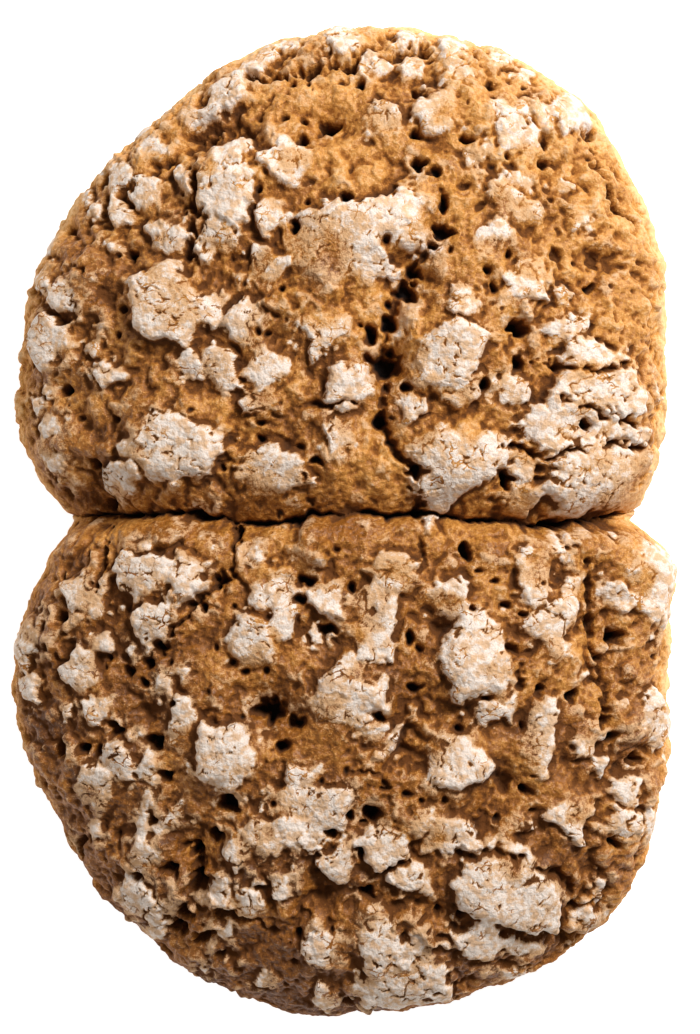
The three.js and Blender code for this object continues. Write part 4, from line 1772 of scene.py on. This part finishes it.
    def _bump(self, recipe: Recipe, grain: Source, speck: Source, crackle: Source) -> Source:
        """Relief finer than the mesh.

        Args:
            recipe: The material under construction.
            grain: Noise at the size of a crumb.
            speck: Noise at the size of a grain of bran.
            crackle: The hair cracks in the flour.

        Returns:
            The bumpy surface's normal.
        """
        height = recipe.maths("MULTIPLY_ADD", speck, 0.14, grain)
        height = recipe.maths("MULTIPLY_ADD", crackle, -0.12, height)
        bump = recipe.node("ShaderNodeBump")
        bump.inputs["Strength"].default_value = 0.95
        bump.inputs["Distance"].default_value = self.bump_height
        recipe.feed(bump.inputs["Height"], height)
        return bump.outputs["Normal"]


@dataclass(frozen=True)
class PaleFloorFinish:
    """A plain white floor, lit a little from within so that it stays near white."""

    white: Colour = srgb(244, 243, 241)
    glow: float = 0.85
    roughness: float = 0.9

    def material(self) -> bpy.types.Material:
        """Builds the floor's material.

        Returns:
            The material.
        """
        recipe = Recipe("pale_floor")
        shader = recipe.node("ShaderNodeBsdfPrincipled")
        shader.inputs["Base Color"].default_value = self.white
        shader.inputs["Roughness"].default_value = self.roughness
        shader.inputs["Emission Color"].default_value = (1.0, 1.0, 1.0, 1.0)
        shader.inputs["Emission Strength"].default_value = self.glow
        output = recipe.node("ShaderNodeOutputMaterial")
        recipe.feed(output.inputs["Surface"], shader.outputs["BSDF"])
        return recipe.material


# ---- Roll and studio ---------------------------------------------------------------------------


@dataclass
class RyeRollPair:
    """The double roll itself."""

    form: BakedForm = field(default_factory=BakedForm)
    finish: RyeCrustFinish = field(default_factory=RyeCrustFinish)

    def build(self) -> bpy.types.Object:
        """Builds and dresses the roll, and puts it in the place of its plain solid.

        Returns:
            The finished piece.
        """
        crust = Crust(Sheet(self.form))
        crust.draw()
        piece = RollMesh().build(crust)
        piece.data.materials.append(self.finish.material())
        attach(piece, BODY)
        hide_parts(NODE)
        return piece


@dataclass
class Studio:
    """Floor, lights and camera: looking straight down, lit from the upper right."""

    floor_side: float = 5.0
    lens_mm: float = 100.0
    sensor_mm: float = 36.0
    framed_height: float = 205.3 * MM
    framed_level: float = 20.0 * MM
    frame_centre: tuple[float, float] = (0.5 * MM, 0.6 * MM)
    key_power: float = 7.1
    key_size: float = 0.26
    key_place: tuple[float, float, float] = (0.35, 0.39, 0.54)
    fill_power: float = 0.5
    fill_size: float = 0.6
    fill_place: tuple[float, float, float] = (-0.62, -0.12, 0.28)
    aim: tuple[float, float, float] = (0.0, 0.0, 15.0 * MM)
    sky_level: float = 0.29
    sky_colour: Colour = srgb(255, 248, 240)

    def build(self) -> None:
        """Builds everything that isn't the roll."""
        self._floor()
        self._light("key_softbox", self.key_place, self.key_size, self.key_power)
        self._light("fill_softbox", self.fill_place, self.fill_size, self.fill_power)
        self._sky()
        self._camera()
        bpy.context.scene.view_settings.view_transform = "Standard"

    def _floor(self) -> None:
        """Lays the floor under the base."""
        half = self.floor_side / 2.0
        mesh = bpy.data.meshes.new("floor")
        corners = [(-half, -half, 0.0), (half, -half, 0.0), (half, half, 0.0), (-half, half, 0.0)]
        mesh.from_pydata(corners, [], [(0, 1, 2, 3)])
        mesh.materials.append(PaleFloorFinish().material())
        floor = bpy.data.objects.new("floor", mesh)
        bpy.context.scene.collection.objects.link(floor)

    def _light(self, name: str, place: tuple[float, float, float], size: float, power: float) -> None:
        """Adds a square softbox aimed at the roll.

        Args:
            name: The light's name.
            place: Where it is, in metres.
            size: Length of its side, in metres.
            power: Its power in watts.
        """
        data = bpy.data.lights.new(name, "AREA")
        data.size = size
        data.energy = power
        lamp = bpy.data.objects.new(name, data)
        bpy.context.scene.collection.objects.link(lamp)
        lamp.location = place
        towards = Vector(self.aim) - lamp.location
        lamp.rotation_euler = towards.to_track_quat("-Z", "Y").to_euler()

    def _sky(self) -> None:
        """Sets an even white sky."""
        world = bpy.data.worlds.new("studio_sky")
        bpy.context.scene.world = world
        world.use_nodes = True
        sky = world.node_tree.nodes["Background"]
        sky.inputs["Color"].default_value = self.sky_colour
        sky.inputs["Strength"].default_value = self.sky_level

    def _camera(self) -> None:
        """Hangs the camera over the roll, with the far roll at the top of the picture."""
        data = bpy.data.cameras.new("overhead_camera")
        data.lens = self.lens_mm
        data.sensor_fit = "VERTICAL"
        data.sensor_height = self.sensor_mm
        camera = bpy.data.objects.new("overhead_camera", data)
        bpy.context.scene.collection.objects.link(camera)
        height = self.framed_level + self.framed_height * self.lens_mm / self.sensor_mm
        camera.location = (*self.frame_centre, height)
        bpy.context.scene.camera = camera


def main() -> None:
    """Builds the roll and the studio in order and reports each piece."""
    logging.basicConfig(level=logging.INFO, format="%(name)s: %(message)s")
    roll = RyeRollPair().build()
    log.info("%s has %d faces", roll.name, len(roll.data.polygons))
    Studio().build()
    log.info("floor, lights and camera are in place")


if __name__ == "__main__":
    main()
